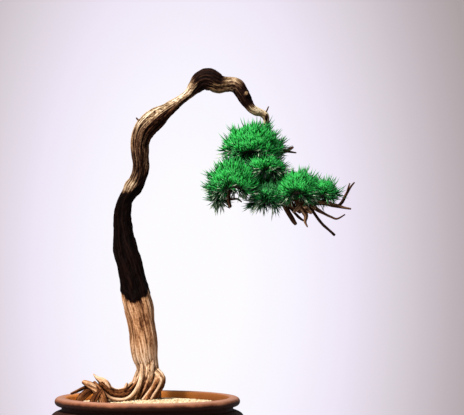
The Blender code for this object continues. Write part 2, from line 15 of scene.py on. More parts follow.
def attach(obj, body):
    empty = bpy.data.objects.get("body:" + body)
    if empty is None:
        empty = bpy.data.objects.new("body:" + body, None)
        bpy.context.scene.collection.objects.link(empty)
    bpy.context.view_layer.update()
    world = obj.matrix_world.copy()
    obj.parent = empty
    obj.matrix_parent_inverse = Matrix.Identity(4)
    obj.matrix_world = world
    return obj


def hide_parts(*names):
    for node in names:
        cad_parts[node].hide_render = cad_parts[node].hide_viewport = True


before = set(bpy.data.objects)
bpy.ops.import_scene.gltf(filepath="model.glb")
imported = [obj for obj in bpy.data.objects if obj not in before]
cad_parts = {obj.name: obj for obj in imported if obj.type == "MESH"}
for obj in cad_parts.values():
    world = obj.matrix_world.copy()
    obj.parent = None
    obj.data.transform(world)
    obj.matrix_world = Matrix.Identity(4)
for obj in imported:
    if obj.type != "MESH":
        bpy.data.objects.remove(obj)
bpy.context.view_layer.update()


def metres(table):
    """The millimetres in nested rows as metres."""
    if isinstance(table, tuple):
        return tuple(metres(item) for item in table)
    return table / 1000


# Pot: heights above its underside, and radii, with the outline of its body and of its cavity
# as rows of a radius and a height
POT_HEIGHT = 0.130
LIP_RADIUS = 0.200
LIP_HEIGHT = 0.0187
LIP_CREST_RADIUS = 0.1865
MOUTH_RADIUS = 0.173
NECK_RADIUS = 0.186
BODY = metres((
    (123, 9), (143, 13.5), (169, 25), (193, 43), (207.5, 61), (212, 78), (207, 90.2), (199.5, 96.8),
    (186, 102)))
CAVITY = metres((
    (118, 13), (153, 27), (177, 43), (194, 61), (198, 76), (187, 91), (173, 104)))
FOOT_RADIUS = 0.121
FOOT_BEVEL = 0.003
POT_FLOOR = 0.013
DRAIN_HOLES = 4
DRAIN_RING_RADIUS = 0.072
DRAIN_RADIUS = 0.008
POT_SIDES = 192
CLAY_WOBBLE = 0.0005

# Soil: it stands a gap off the pot, and its mound is highest in the middle
GAP = 0.0006
SOIL_RADIUS = MOUTH_RADIUS - GAP
SOIL_CREST = 0.1245
SOIL_EDGE = 0.1125
SOIL_MOUND_POWER = 1.6
SOIL_TONE = 0.12

# Gravel: single grains, and how far below the mound's height the soil's own body ends
GRAIN_SIZE = 0.0042
GRAIN_SPACING = 0.0036
GRAVEL_SEED = 5
GRAVEL_DEPTH = 0.0022

# Wood: each row is a point on the centreline and the width across there
TRUNK = metres((
    (4, 34, 112, 52), (4, 34, 138, 52), (3, 33, 160, 51), (1, 32, 181, 49), (-2, 32, 199, 50),
    (-6, 31, 216, 56), (-8, 30, 238, 59), (-10, 29, 264, 58), (-14, 29, 290, 57), (-17.5, 30, 316, 62),
    (-23.5, 31, 340, 61), (-28.5, 32, 365, 58), (-34, 34, 391, 53), (-40, 36, 417, 50),
    (-48.5, 38, 441, 48), (-52.5, 40, 465, 43), (-54.5, 41, 489, 38), (-56.5, 41, 513, 34),
    (-55.5, 40, 535, 30), (-50.5, 39, 553, 27), (-42.5, 38, 568, 29), (-34.5, 36, 582, 35),
    (-25.5, 34, 596, 32), (-19, 33, 613, 31), (-16.5, 32, 632, 33), (-17.5, 31, 654, 37),
    (-18.5, 30, 673, 38), (-15, 28, 691, 41), (-6, 26, 708, 45), (9, 24, 723, 46), (24, 22, 735, 42),
    (39, 20, 746, 31), (56, 17, 758, 25), (74, 13, 771, 20), (90, 9, 783, 21), (103, 6, 797, 30),
    (115, 3, 809, 41), (129, 0, 814, 46), (142, -3, 811, 44), (155, -5, 804, 39), (170, -7, 803, 32),
    (182, -8, 803, 31), (194, -9, 799, 31), (202, -10, 788, 29), (209, -11, 776, 28),
    (216, -11, 763, 24), (224, -11, 752, 20), (235, -10, 745, 19.5), (249, -8, 741, 15)))
DROP_BRANCH = metres((
    (238, -10, 743, 14), (250, -8, 739, 17), (256, -6, 730, 15), (256, -3, 716, 12), (257, 2, 696, 10),
    (261, 8, 673, 10), (265, 12, 649, 10), (270, 14, 628, 10), (278, 13, 606, 10), (290, 10, 584, 11),
    (308, 6, 565, 13), (327, 2, 552, 14), (346, 0, 546, 14), (366, -3, 549, 12), (387, -6, 547, 11),
    (409, -8, 541, 9), (426, -10, 537, 5.5), (438, -12, 535, 4)))
LEFT_BRANCH = metres((
    (259, 6, 680, 8), (248, 1, 655, 8), (230, -3, 627, 8), (205, -8, 604, 8), (184, -12, 583, 9),
    (176, -14, 569, 9), (175, -15, 555, 9), (178, -16, 539, 8)))
DEAD_TWIGS = metres((
    ((280, 12, 592, 10), (289, 8, 558, 12), (298, 4, 539, 12), (307, 0, 522, 11), (314, -3, 510, 10.5),
     (320, -4, 502, 7)),
    ((292, 12, 574, 8), (301, 14, 548, 7.5), (315, 16, 530, 6), (327, 19, 517, 6), (337, 21, 509, 4)),
    ((322, 0, 556, 14), (332, -6, 540, 16), (338, -9, 529, 14), (342, -11, 519, 10), (340, -12, 507, 6),
     (345, -13, 496, 3)),
    ((346, 2, 548, 9), (361, 6, 524, 6.5), (376, 10, 504, 6.5), (389, 13, 492, 6), (404, 16, 478, 6)),
    ((352, -2, 546, 11), (367, -10, 533, 9), (382, -15, 524, 6), (395, -18, 518, 5),
     (408, -20, 514, 4.5), (425, -23, 523, 3)),
    ((411, -9, 541, 7), (420, -4, 550, 7), (427, 0, 563, 6.5), (434, 3, 575, 6), (440, 5, 584, 4.5),
     (447, 8, 592, 3)),
    ((430, 1, 569, 4), (433, -4, 581, 3.5), (436, -9, 590, 3)),
    ((262, 9, 662, 8), (282, 4, 657, 8), (301, 0, 661, 7.5), (314, -3, 668, 5)),
    ((294, 1, 660, 6), (308, 4, 658, 5), (321, 6, 656, 3)),
    ((251, -8, 735, 5), (257, -10, 746, 3.5), (261, -12, 755, 3)),
    ((174, -14, 556, 6), (185, -20, 556, 5), (195, -24, 556, 4.5), (203, -27, 550, 3)),
    ((336, -4, 546, 12), (327, -10, 540, 11), (319, -14, 533, 8), (314, -16, 527, 5)),
    ((340, -4, 540, 11), (346, -14, 532, 10), (353, -19, 526, 6)),
    ((335, -6, 547, 9), (338, -16, 541, 9), (341, -24, 538, 7)),
    ((350, -4, 546, 9), (356, -14, 540, 8), (361, -21, 535, 5)),
    ((292, 8, 566, 10), (306, 2, 548, 13), (318, -3, 537, 11), (330, -6, 528, 8))))

# Tone of the dead twigs that are paler than plain ones, by their number
TWIG_TONES = {2: 0.30, 7: 0.20, 11: 0.42, 12: 0.36, 13: 0.42, 14: 0.30}
PLAIN_TWIG = 0.16

# Spurs and knots on the trunk, with the tone of each and the row that it is pale up to
SPURS = metres((
    ((-12, 26, 714, 7), (-19, 24, 725, 5), (-25, 22, 732, 3)),
    ((208.5, -13, 780, 13), (213.5, -20.5, 780, 16), (214.5, -24, 779.5, 14)),
    ((214.2, -20, 777.6, 4), (215, -27, 777.2, 5.8)),
    ((257.5, -13, 738.5, 4), (256.7, -14.8, 734.5, 6.8), (256.1, -14.6, 729, 6.5),
     (255.8, -12.5, 724.5, 3))))
SPUR_TONES = ((0.20, 0.0), (-0.27, 3.0), (-0.20, 0.0), (0.02, 0.0))

# Roots: six of the claw at the left, two in front and two behind
ROOTS = metres((
    ((0, 30, 206, 28), (-6, 18, 176, 31), (-19, 4, 152, 30), (-38, -7, 139, 27), (-60, -16, 135, 26),
     (-77, -24, 139, 24), (-89, -30, 150, 22), (-98, -34, 160, 19)),
    ((-137, -30, 164, 11), (-123, -32, 156, 20), (-106, -36, 144, 25), (-95, -41, 129, 25),
     (-90, -44, 112, 20)),
    ((-116, -18, 180, 3), (-108, -22, 172, 9), (-97, -26, 165, 19), (-88, -28, 155, 21),
     (-80, -28, 142, 14)),
    ((-113, -34, 164, 7), (-104, -40, 151, 13), (-94, -47, 135, 14), (-88, -52, 115, 12)),
    ((-118, -31, 153, 12), (-134, -25, 151, 9), (-149, -16, 144, 8), (-164, -8, 137, 6)),
    ((-46, -9, 147, 10), (-45, -10, 155, 8), (-44, -10, 160, 4)),
    ((4, 30, 222, 26), (3, 16, 184, 30), (-7, 3, 156, 30), (-22, -6, 134, 27), (-34, -12, 112, 22)),
    ((8, 33, 200, 16), (12, 28, 186, 22), (25, 18, 169, 26), (23.5, 9, 155, 26), (14.5, 2, 141, 26),
     (3, -4, 128, 25), (-6, -8, 113, 21)),
    ((2, 44, 200, 28), (-2, 60, 165, 28), (-8, 76, 135, 25), (-12, 88, 112, 21)),
    ((-10, 44, 190, 28), (-24, 56, 156, 26), (-36, 70, 130, 24), (-44, 80, 110, 20))))

# Pale ribbons of wood that run over the roots
RIBBONS = metres((
    ((-34, -4, 160, 7), (-48, -12, 149, 7), (-66, -21, 146, 7), (-79, -28, 152, 8), (-90, -32, 161, 7)),
    ((-13, 10, 200, 8), (-13, -6, 174, 12), (-20, -20, 150, 13), (-34, -26, 132, 12),
     (-52, -33, 125, 10), (-76, -37, 129, 10), (-96, -41, 143, 10), (-113, -40, 156, 9),
     (-128, -36, 162, 6)),
    ((18, 6, 168, 8), (12, -2, 154, 7), (3, -10, 140, 7), (-10, -16, 124, 6)),
    ((24, 8, 172, 9), (30, 0, 164, 8), (22, -7, 146, 6), (12, -13, 130, 6), (6, -15, 120, 5)),
    ((-110, -34, 152, 14), (-127, -36, 142, 18), (-141, -36, 130, 18), (-149, -34, 114, 14)),
    ((-98, -46, 146, 12), (-110, -52, 132, 16), (-119, -57, 113, 15))))

# Tone of each root on its side away from the light and on its side towards it, partly its own colour and
# partly painted shade and painted light, and its red tint, by its number in ROOTS
PLAIN_ROOT = (0.34, 0.84, 0.6)
# A hollow root is dark red-brown and darker still on its side towards the light, as painted shade of the
# recess that it forms
SHADED_HOLLOW_ROOT = (0.44, 0.29, 1.0)
ROOT_TONES = {0: SHADED_HOLLOW_ROOT, 1: (0.24, 0.64, 0.7), 3: (0.16, 0.44, 1.0), 4: (0.12, 0.34, 1.0),
              6: (0.52, 0.70, 0.7), 7: (0.28, 0.44, 1.0), 8: SHADED_HOLLOW_ROOT}
RIBBON_TONE = (0.50, 0.78, 0.5)
PALE_RIBBONS = 4

# Where the roots take on the tone and tint of the trunk's foot: over this span of heights, and
# over this span from the claw to the right
ROOT_TOP = (0.162, 0.178)
CLAW_END = (-0.060, -0.030)
FOOT_TONE = 0.73
FOOT_TINT = 0.45

# Roots that are cut by fewer and deeper grooves: the depth of these
ROOT_GROOVES = {0: 0.0032, 6: 0.0036, 7: 0.0036}
ROOT_GROOVE = 0.0018

# Tone of the trunk from 0, black bark, to 1, bleached cream: the row that it holds at, the tone of the
# side towards the light, the tone of the other side, and a tint from -1, olive, to 1, red-brown. The two
# sides differ partly by the wood's own colour and partly by painted light and painted shade.
TRUNK_TONES = (
    (0, 0.36, 0.28, 0.9), (2, 0.66, 0.66, 0.6), (4, 0.86, 0.93, 0.45), (5, 0.83, 0.88, 0.5),
    (6.5, 0.72, 0.74, 0.65), (8, 0.68, 0.71, 0.7), (10, 0.74, 0.62, 0.6), (20, 0.50, 0.12, 0.0),
    (20.3, 0.61, 0.53, 0.0), (21.7, 0.60, 0.48, 0.0), (22.2, 0.36, 0.18, 0.2), (24, 0.34, 0.32, 0.2),
    (25, 0.20, 0.24, 0.2), (26, 0.38, 0.30, 0.3), (27.5, 0.47, 0.24, 0.4), (29, 0.64, 0.16, 0.6),
    (30, 0.65, 0.16, 0.6), (31.5, 0.56, 0.20, 0.7), (33, 0.70, 0.24, 0.3), (34.2, 0.66, 0.34, 0.2),
    (35.3, 0.42, 0.10, 0.3), (35.9, 0.12, 0.06, 0.3), (37.6, 0.10, 0.10, 0.3), (38.5, 0.06, 0.46, -0.7),
    (39.4, 0.10, 0.44, -0.6), (40, 0.46, 0.44, -0.5), (41, 0.64, 0.34, 0.0), (42.2, 0.46, 0.18, 0.2),
    (43, 0.18, 0.07, 0.3), (44.4, 0.14, 0.05, 0.2), (45.2, 0.08, 0.05, 0.2), (46, 0.64, 0.36, -0.3),
    (46.6, 0.88, 0.52, -0.4), (48, 0.84, 0.54, -0.4))
# The light's direction, by which painted light and painted shade are laid on the wood
LIGHT_SIDE = Vector((-0.50, -0.30, 0.81))

# Dark bark: the height of its lower and upper edges at angles round the trunk, 0 in front
BARK_FOOT = ((-90, 0.361), (-16, 0.331), (90, 0.362), (165, 0.338))
BARK_HEAD = ((-90, 0.572), (0, 0.570), (55, 0.600), (90, 0.640), (150, 0.600))
BARK_TONE = 0.03
BARK_THICKNESS = 0.0012
BARK_END_ROW = 26

# The wood's pattern is read as if every part were straight and this thick, in radius
TRUNK_RING = 0.028
ROOT_RING = 0.014
BRANCH_RING = 0.006

# Lobes round the wood: how deep and how many they are, how far they turn in a metre, and the
# angle that they start at
TRUNK_TWIST = 2.2 * math.pi
TRUNK_LOBES = ((0.050, 2, TRUNK_TWIST, 0.0), (0.055, 3, -1.7 * TRUNK_TWIST, 1.0),
               (0.050, 5, 1.3 * TRUNK_TWIST, 0.6))
ROOT_LOBES = ((0.10, 2, 9.0, 0.0), (0.06, 3, -20.0, 0.0))

# Angles at which a limb's end is rounded off, and how far it bulges as a share of its radius
END_BENDS = (30, 60, 80, 90)
END_BULGE = 0.5

# Size of the smallest features of the wood's skins, and the most triangles of each skin
TRUNK_VOXEL = 0.0011
BRANCH_VOXEL = 0.0007
MOST_TRUNK_TRIANGLES = 190000
MOST_BRANCH_TRIANGLES = 90000

# Needles: their full length, and what it varies by: the shortest one's share of it, how much
# more others have, and how rare the long ones are
NEEDLE_LENGTH = 0.0265
NEEDLE_SHORTEST = 0.68
NEEDLE_MORE = 0.44
LONG_ONES_RARE = 2.5
NEEDLE_WIDTH = 0.0020
NEEDLE_SHOULDER = 0.68
NEEDLES_A_SHOOT = 17
BRUSH_LENGTH = 0.014
SHOOT_SPACING = 0.0132
GOLDEN_ANGLE = math.radians(137.508)

# Where shoots end: this share of the way beyond the cloud's outside at most, short of it by up
# to another share, and scattered by a length
TIP_BEYOND = 0.05
TIP_SHORT = 0.34
TIP_SHORT_POWER = 1.3
TIP_SCATTER = 0.0020

# Lowest lift, from -1 to 1, of the shoots at a cloud's front, back and sides
FRONT_UNDERSIDE = 0.05
BACK_UNDERSIDE = -0.50
SIDE_UNDERSIDE = -0.75

# Needles fan out from a flat middle, as wide as this share of the cloud's reach, and not from
# the hub itself, which lies lower by a share too
PAD_MIDDLE = 0.28
PAD_LIFT = 0.06

# Directions of needles: less to the front and back than sideways, and somewhat upward, and the
# degrees between a needle and its shoot low on it, at its tip, and how much these vary
NEEDLE_SPREAD = (1.0, 0.25, 1.0)
NEEDLE_RISE = (0.0, 0.0, 0.40)
LOW_TILT = 36
TIP_TILT = 10
TILT_CHANGE = 5

# Tone of needles from 0 to 1: a middle one, the share that is darker and by how much, how much
# brighter the rest are, and how much it varies from shoot to shoot and needle to needle
NEEDLE_TONE = 0.41
DARK_SHARE = 0.42
DARKER = -0.42
BRIGHTER = 0.24
SHOOT_TONE_CHANGE = 0.14
NEEDLE_TONE_CHANGE = 0.10

# How much painted light brightens needles that point straight up and that stand high in their cloud, and
# painted shade darkens those that point down and stand low
UPRIGHT_PAINTED_LIGHT = 0.40
HIGH_PAINTED_LIGHT = 0.45
HIGH_LIMIT = 0.6

# The rim of a cloud, as seen from the front: where it starts and is full, how much painted shade darkens
# its needles, and how much a share of them is longer and the rest shorter
RIM = (0.68, 0.92)
RIM_SHADE = 0.7
RIM_LONG_SHARE = 0.4
RIM_LONGER = 0.27
RIM_SHORTER = -0.22

# Dry needles hang: their share is largest where needles point down
DRY_SHARE = 0.30
DRY_SLOPE = 0.42

# How far along a needle and along a shoot each of its points lies
NEEDLE_SHARES = np.repeat((0.0, NEEDLE_SHOULDER, 1.0), (3, 3, 1))
SHOOT_SHARES = np.repeat((0.0, 0.5, 1.0, 0.0, 1.0), (3, 3, 3, 1, 1))

# Stage: the backdrop's colours are stops from its middle, a direction, out to its reach, and it is
# stretched upward; they fall off from near white to darker mauve as a painted pool of light behind the
# tree
BACKDROP_MIDDLE = (-0.0156, 1.0, -0.017)
BACKDROP_SHAPE = (1.0, 1.0, 0.5)
BACKDROP_REACH = 0.13
BACKDROP = ((0.15, (0.98, 0.965, 0.99)), (0.30, (0.937, 0.907, 1.0)), (0.45, (0.86, 0.79, 0.92)),
            (0.60, (0.69, 0.63, 0.69)), (0.75, (0.52, 0.456, 0.49)), (0.86, (0.415, 0.36, 0.365)),
            (1.0, (0.45, 0.39, 0.41)))
AMBIENT = 0.36
AMBIENT_COLOUR = (0.90, 0.93, 1.0, 1.0)

# Lamps: the place that they point at, and the place, size, power and colour of each
LIT_PLACE = (0.12, 0.0, 0.45)
KEY_LIGHT = ((-1.2, -1.9, 3.1), 0.6, 230.0, (1.0, 0.97, 0.92))
FILL_LIGHT = ((2.4, -2.6, 0.9), 1.6, 8.0, (0.92, 0.94, 1.0))

# Floor: it fades out between two shares of its radius
FLOOR_RADIUS = 1.1
FLOOR_TOP = -0.0006
FLOOR_FADE = (0.42, 0.97)
FLOOR_COLOUR = (0.42, 0.40, 0.43, 1.0)

# Camera: in front of the tree and a touch above its middle
CAMERA_PLACE = (0.1824, -5.79, 0.5779)
CAMERA_AIM_HEIGHT = 0.5379
CAMERA_LENS = 208.3
SENSOR_WIDTH = 36.0


def lengths(vectors):
    """The length of each vector, in an axis of its own."""
    return np.linalg.norm(vectors, axis=-1, keepdims=True)


def about_axis(radius, angle, height):
    """Points at a radius and an angle about Z, at a height."""
    return np.stack([np.cos(angle) * radius, np.sin(angle) * radius, height + 0 * angle], axis=-1)


def spokes(side, up, angle):
    """Directions at angles from a side towards an up direction."""
    return side * np.cos(angle)[..., None] + up * np.sin(angle)[..., None]


def smooth_noise(points, seed):
    """Smooth noise, mostly from -1 to 1, at an array of points, with features one unit wide."""
    rng = np.random.default_rng(seed)
    order = rng.permutation(256)
    slopes = rng.normal(size=(256, 3))
    slopes /= lengths(slopes)
    cell = np.floor(points).astype(int)
    inside = points - cell
    ease = inside ** 3 * (inside * (inside * 6 - 15) + 10)
    total = np.zeros(points.shape[:-1])
    for corner in np.ndindex(2, 2, 2):
        at = (cell + corner) & 255
        index = order[(order[(order[at[..., 0]] + at[..., 1]) & 255] + at[..., 2]) & 255]
        value = (slopes[index] * (inside - corner)).sum(-1)
        total += value * np.prod(np.where(corner, ease, 1 - ease), axis=-1)
    return total * 1.5


def blend(low, high, value):
    """0 below low, 1 above high, and a smooth step between."""
    share = np.clip((value - low) / (high - low), 0, 1)
    return share * share * (3 - 2 * share)


def spline_point(p0, p1, p2, p3, t):
    """A point of the Catmull-Rom curve between p1 and p2, in any number of numbers."""
    return [0.5 * (2 * b + (c - a) * t + (2 * a - 5 * b + 4 * c - d) * t ** 2
                   + (3 * b - a - 3 * c + d) * t ** 3)
            for a, b, c, d in zip(p0, p1, p2, p3)]


def smooth_rows(rows, step):
    """Rows along the smooth curve through the given ones, with the row number as the last
    value of each, about one step apart."""
    numbered = [(*row, float(i)) for i, row in enumerate(rows)]
    padded = [numbered[0], *numbered, numbered[-1]]
    result = []
    for i in range(len(rows) - 1):
        span = (Vector(rows[i + 1][:3]) - Vector(rows[i][:3])).length
        count = max(1, round(span / step))
        for k in range(count):
            row = spline_point(*padded[i:i + 4], k / count)
            row[4] = i + k / count
            result.append(row)
    result.append(list(numbered[-1]))
    return np.array(result)


def frames(points):
    """A side and an up direction at each point, carried along without twist."""
    last = len(points) - 1
    side = Vector((0.0, -1.0, 0.0))
    sides = []
    ups = []
    for i in range(last + 1):
        tangent = Vector(points[min(i + 1, last)] - points[max(i - 1, 0)]).normalized()
        side = (side - tangent * side.dot(tangent)).normalized()
        sides.append(side.copy())
        ups.append(tangent.cross(side))
    return np.array(sides), np.array(ups)


def add_object(name, data):
    """A new object in the scene."""
    thing = bpy.data.objects.new(name, data)
    bpy.context.scene.collection.objects.link(thing)
    return thing


def mesh_object(name, points, faces):
    """An object from an array of points and an array of faces of one size."""
    mesh = bpy.data.meshes.new(name)
    mesh.vertices.add(len(points))
    mesh.vertices.foreach_set("co", np.asarray(points, np.float32).ravel())
    mesh.loops.add(faces.size)
    mesh.loops.foreach_set("vertex_index", np.asarray(faces, np.int32).ravel())
    mesh.polygons.add(len(faces))
    mesh.polygons.foreach_set("loop_start", np.arange(0, faces.size, faces.shape[1], dtype=np.int32))
    mesh.update(calc_edges=True)
    mesh.validate()
    return add_object(name, mesh)


def set_attribute(thing, name, values):
    """A number or a vector at every vertex, for the materials."""
    kind, field = ("FLOAT", "value") if values.ndim == 1 else ("FLOAT_VECTOR", "vector")
    layer = thing.data.attributes.new(name, kind, "POINT")
    layer.data.foreach_set(field, np.asarray(values, np.float32).ravel())


def read_vectors(items, field):
    """A vector of each item of a mesh, as rows of an array."""
    values = np.zeros(len(items) * 3, np.float32)
    items.foreach_get(field, values)
    return values.reshape(-1, 3).astype(float)


def vertex_places(mesh):
    return read_vectors(mesh.vertices, "co")


def vertex_normals(mesh):
    return read_vectors(mesh.vertex_normals, "vector")


def apply_modifiers(thing):
    """Gives the object the mesh that its modifiers make."""
    depsgraph = bpy.context.evaluated_depsgraph_get()
    mesh = bpy.data.meshes.new_from_object(thing.evaluated_get(depsgraph))
    thing.modifiers.clear()
    thing.data = mesh


def stacked(parts):
    """The points and faces of several meshes as those of one."""
    firsts = np.cumsum([0] + [len(points) for points, _ in parts])
    return (np.concatenate([points for points, _ in parts]),
            np.concatenate([faces + first for first, (_, faces) in zip(firsts, parts)]))


def repeated(faces, count, size):
    """The faces of many bodies, one after the other, each with so many points."""
    return (faces[None] + (np.arange(count) * size)[:, None, None]).reshape(-1, 3)


def skin_faces(rings, sides):
    """Triangles between rings of points, and to a point below them and one above."""
    low, high = rings * sides, rings * sides + 1
    last = low - sides
    faces = []
    for k in range(sides):
        after = (k + 1) % sides
        faces += [(low, after, k), (last + k, last + after, high)]
        for i in range(0, last, sides):
            faces += [(i + k, i + after, i + after + sides), (i + k, i + after + sides, i + k + sides)]
    return np.array(faces)


def settle(thing, finishes, node):
    """Gives the piece its finishes.  It rides with the frame and stands for a node."""
    thing.data.materials.clear()
    for finish in finishes:
        thing.data.materials.append(finish)
    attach(thing, "root")
    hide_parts(node)


# Wood

def strands(angle, travel, radius, across, along, seed):
    """0 in narrow grooves that wander along the grain, and 1 on the ridges between them."""
    ring = about_axis(radius * across, angle, travel * along)
    return 1 - np.exp(-(smooth_noise(ring, seed) / 0.17) ** 2)


class Limb:
    """A length of wood, swept along rows, as a grid of points with what each point is like."""

    def __init__(self, rows, step, sides, turns, ring):
        rows = smooth_rows(rows, step)
        self.sides = sides
        self.ring = ring
        self.places = rows[:, :3]
        steps = lengths(np.diff(self.places, axis=0))
        self.travel = np.concatenate([[[0.0]], np.cumsum(steps, axis=0)]) + np.zeros((1, sides))
        self.angle = np.linspace(0, 2 * np.pi, sides, endpoint=False)[None, :] + 0 * self.travel
        self.turned = self.angle + 2 * np.pi * turns * self.travel
        self.radius = rows[:, 3:4] / 2 + 0 * self.travel
        self.number = rows[:, 4:5] + 0 * self.travel
        side, up = frames(self.places)
        self.out = spokes(side[:, None], up[:, None], self.angle)

    def points(self):
        """The grid of points on the limb's skin."""
        return self.places[:, None] + self.out * self.radius[..., None]

    def rounded(self):
        """The grid with shrinking rings beyond each end, to close it."""
        grid = self.points()
        caps = []
        for end, inner in ((0, 1), (-1, -2)):
            ahead = self.places[end] - self.places[inner]
            ahead /= lengths(ahead)
            width = self.radius[end].mean()
            rings = []
            for bend in np.radians(END_BENDS):
                rings.append(self.places[end] + ahead * END_BULGE * width * math.sin(bend)
                             + (grid[end] - self.places[end]) * math.cos(bend))
            caps.append(rings)
        return np.concatenate([caps[0][::-1], grid, caps[1]])

    def padded(self, values):
        """Values of the grid, repeated for the rings of the ends."""
        rings = len(END_BENDS)
        return np.concatenate([values[:1]] * rings + [values] + [values[-1:]] * rings)

    def grain(self):
        """Place along and round the limb as if it were straight, in metres."""
        return about_axis(self.ring, self.turned, self.travel)

    def lobed(self, lobes):
        """Gives the limb lobes, from a table of them."""
        self.radius *= 1.0 + sum(depth * np.cos(count * self.angle + twist * self.travel + start)
                                 for depth, count, twist, start in lobes)

    def faces(self):
        """The quads between the rings of points, those of the ends too."""
        count, sides = len(self.places) + 2 * len(END_BENDS), self.sides
        ring = np.arange(count - 1)[:, None] * sides
        k = np.arange(sides)[None, :]
        after = (k + 1) % sides
        quads = np.stack([ring + k, ring + after, ring + after + sides, ring + k + sides], axis=-1)
        return quads.reshape(-1, 4)


def carve(limb, depth, seed, across=150):
    """Long strands and finer fibres with narrow grooves between them, depth in metres, and
    more of them for a larger number across."""
    wide = strands(limb.turned, limb.travel, limb.ring, across, 11, seed)
    fine = strands(limb.turned + 0.3, limb.travel, limb.ring, 330, 26, seed + 1)
    room = np.minimum(1.0, limb.radius / 0.012)
    limb.radius += depth * room * (wide - 0.75 + 0.45 * (fine - 0.75))
    limb.groove = 1 - np.minimum(wide, 0.35 + 0.65 * fine)


def around(table, angle):
    """A value read at an angle from pairs of degrees and values round the trunk."""
    degrees, values = zip(*table)
    return np.interp(np.degrees(angle), degrees, values, period=360)


def give_tones(limb, grain, arched, broken):
    """Gives the trunk its tones and tints by row, with painted light on the side that faces the light and
    painted shade on the other.
    """
    rows, lit, shaded, tint = (np.array(column) for column in zip(*TRUNK_TONES))
    facing = limb.out @ np.array(LIGHT_SIDE) + 0.30 * smooth_noise(grain * (140, 140, 16), 3)
    share = blend(0.05, 0.60, facing)
    limb.tone = (np.interp(limb.number, rows, lit) * share
                 + np.interp(limb.number, rows, shaded) * (1 - share))
    limb.tone += 0.60 * np.minimum(broken, 0.2) * limb.tone
    limb.tint = np.interp(limb.number, rows, tint)
    # Partly painted light: the side of the arched limb towards the light loses its red tint and reads
    # paler
    limb.tint -= 1.3 * np.maximum(limb.tint, 0) * share * arched


def bark_share(limb, grain):
    """1 where the trunk has dark bark and 0 where it is bare, with ragged edges."""
    height = limb.points()[..., 2] + 0.0045 * smooth_noise(grain * (260, 260, 60), 4)
    return (blend(-0.0012, 0.0012, height - around(BARK_FOOT, limb.angle))
            * blend(-0.004, 0.004, around(BARK_HEAD, limb.angle) - height)
            * (limb.number < BARK_END_ROW))


def lay_bark(limb, grain, bark):
    """Lays plates of dark bark on the trunk."""
    plates = smooth_noise(grain * (90, 90, 34), 8)
    limb.radius += bark * (BARK_THICKNESS + 0.0012 * blend(0.0, 0.25, plates))
    limb.tone = limb.tone * (1 - bark) + BARK_TONE * bark
    limb.tint *= 1 - bark


def trunk_limb():
    """The trunk and its arched limb: lobed, grooved and torn, with dark bark in its middle."""
    limb = Limb(TRUNK, step=0.0015, sides=120, turns=0.4, ring=TRUNK_RING)
    limb.lobed(TRUNK_LOBES)
    grain = limb.grain()
    arched = blend(BARK_END_ROW, BARK_END_ROW + 3, limb.number)
    broken = smooth_noise(grain * (380, 380, 170), 5) * arched
    give_tones(limb, grain, arched, broken)
    bark = bark_share(limb, grain)
    frayed = blend(30, 32, limb.number) * (1 - blend(35.5, 36.5, limb.number))
    carve(limb, 0.0009 + 0.0013 * blend(8, 12, limb.number) + 0.0010 * frayed, 20)
    limb.radius += 0.0008 * broken
    lay_bark(limb, grain, bark)
    return limb


def root_limb(rows, number, tones):
    """A root or a ribbon of wood over the roots, as pale as the trunk's foot at its top."""
    limb = Limb(rows, step=0.002, sides=48, turns=2.2, ring=ROOT_RING)
    limb.lobed(ROOT_LOBES)
    deep = ROOT_GROOVES.get(number)
    carve(limb, deep or ROOT_GROOVE, 40 + 3 * number, 90 if deep else 150)
    # Painted light and shade: the tone goes from the root's first tone to its second as its side turns
    # towards the light
    facing = limb.out @ np.array(LIGHT_SIDE)
    limb.tone = tones[0] + (tones[1] - tones[0]) * blend(-0.2, 0.5, facing)
    points = limb.points()
    height = points[..., 2] + 0.014 * smooth_noise(limb.grain() * (170, 170, 25), 9)
    foot = blend(*ROOT_TOP, height) * blend(*CLAW_END, points[..., 0])
    limb.tone += (FOOT_TONE - limb.tone) * foot
    limb.tint = tones[2] + (FOOT_TINT - tones[2]) * foot
    return limb


def branch_limb(rows, number, sides, tone, pale_rows=0.0):
    """A branch of one tone, pale up to a row number, with painted light on its side towards the light."""
    limb = Limb(rows, step=0.002, sides=sides, turns=3.0, ring=BRANCH_RING)
    knots = smooth_noise(limb.grain() * (90, 90, 60), 70 + number)
    limb.radius *= 1.0 + 0.16 * knots
    carve(limb, 0.0009, 80 + 3 * number)
    facing = limb.out @ np.array(LIGHT_SIDE)
    pale = 1 - blend(pale_rows - 0.6, pale_rows + 0.1, limb.number)
    # Painted light: brighter on the side that faces the light
    limb.tone = tone + 0.16 * blend(-0.3, 0.6, facing) + 0.36 * pale
    limb.tint = 0.4 - 0.8 * pale
    return limb


def joined(limbs):
    """The points, faces and values of several limbs as arrays."""
    points, faces = stacked([(limb.rounded().reshape(-1, 3), limb.faces()) for limb in limbs])
    values = [limb.padded(np.dstack([limb.grain(), limb.tone, limb.tint, limb.groove])).reshape(-1, 6)
              for limb in limbs]
    return points, faces, np.concatenate(values)


def carried_over(points, faces, values, places):
    """Values of the nearest spot on a grid mesh, read between its four corners."""
    tree = BVHTree.FromPolygons(points.tolist(), faces.tolist())
    found = [tree.find_nearest(place)[0::2] for place in places.tolist()]
    spots = np.array([spot for spot, _ in found])
    quad = faces[[index for _, index in found]]
    a, b, d = points[quad[:, 0]], points[quad[:, 1]], points[quad[:, 3]]

    def share(end):
        line = end - a
        return np.clip(((spots - a) * line).sum(1) / np.maximum((line ** 2).sum(1), 1e-12), 0, 1)[:, None]

    u, v = share(b), share(d)
    corner = [values[quad[:, k]] for k in range(4)]
    return (corner[0] * (1 - u) + corner[1] * u) * (1 - v) + (corner[3] * (1 - u) + corner[2] * u) * v


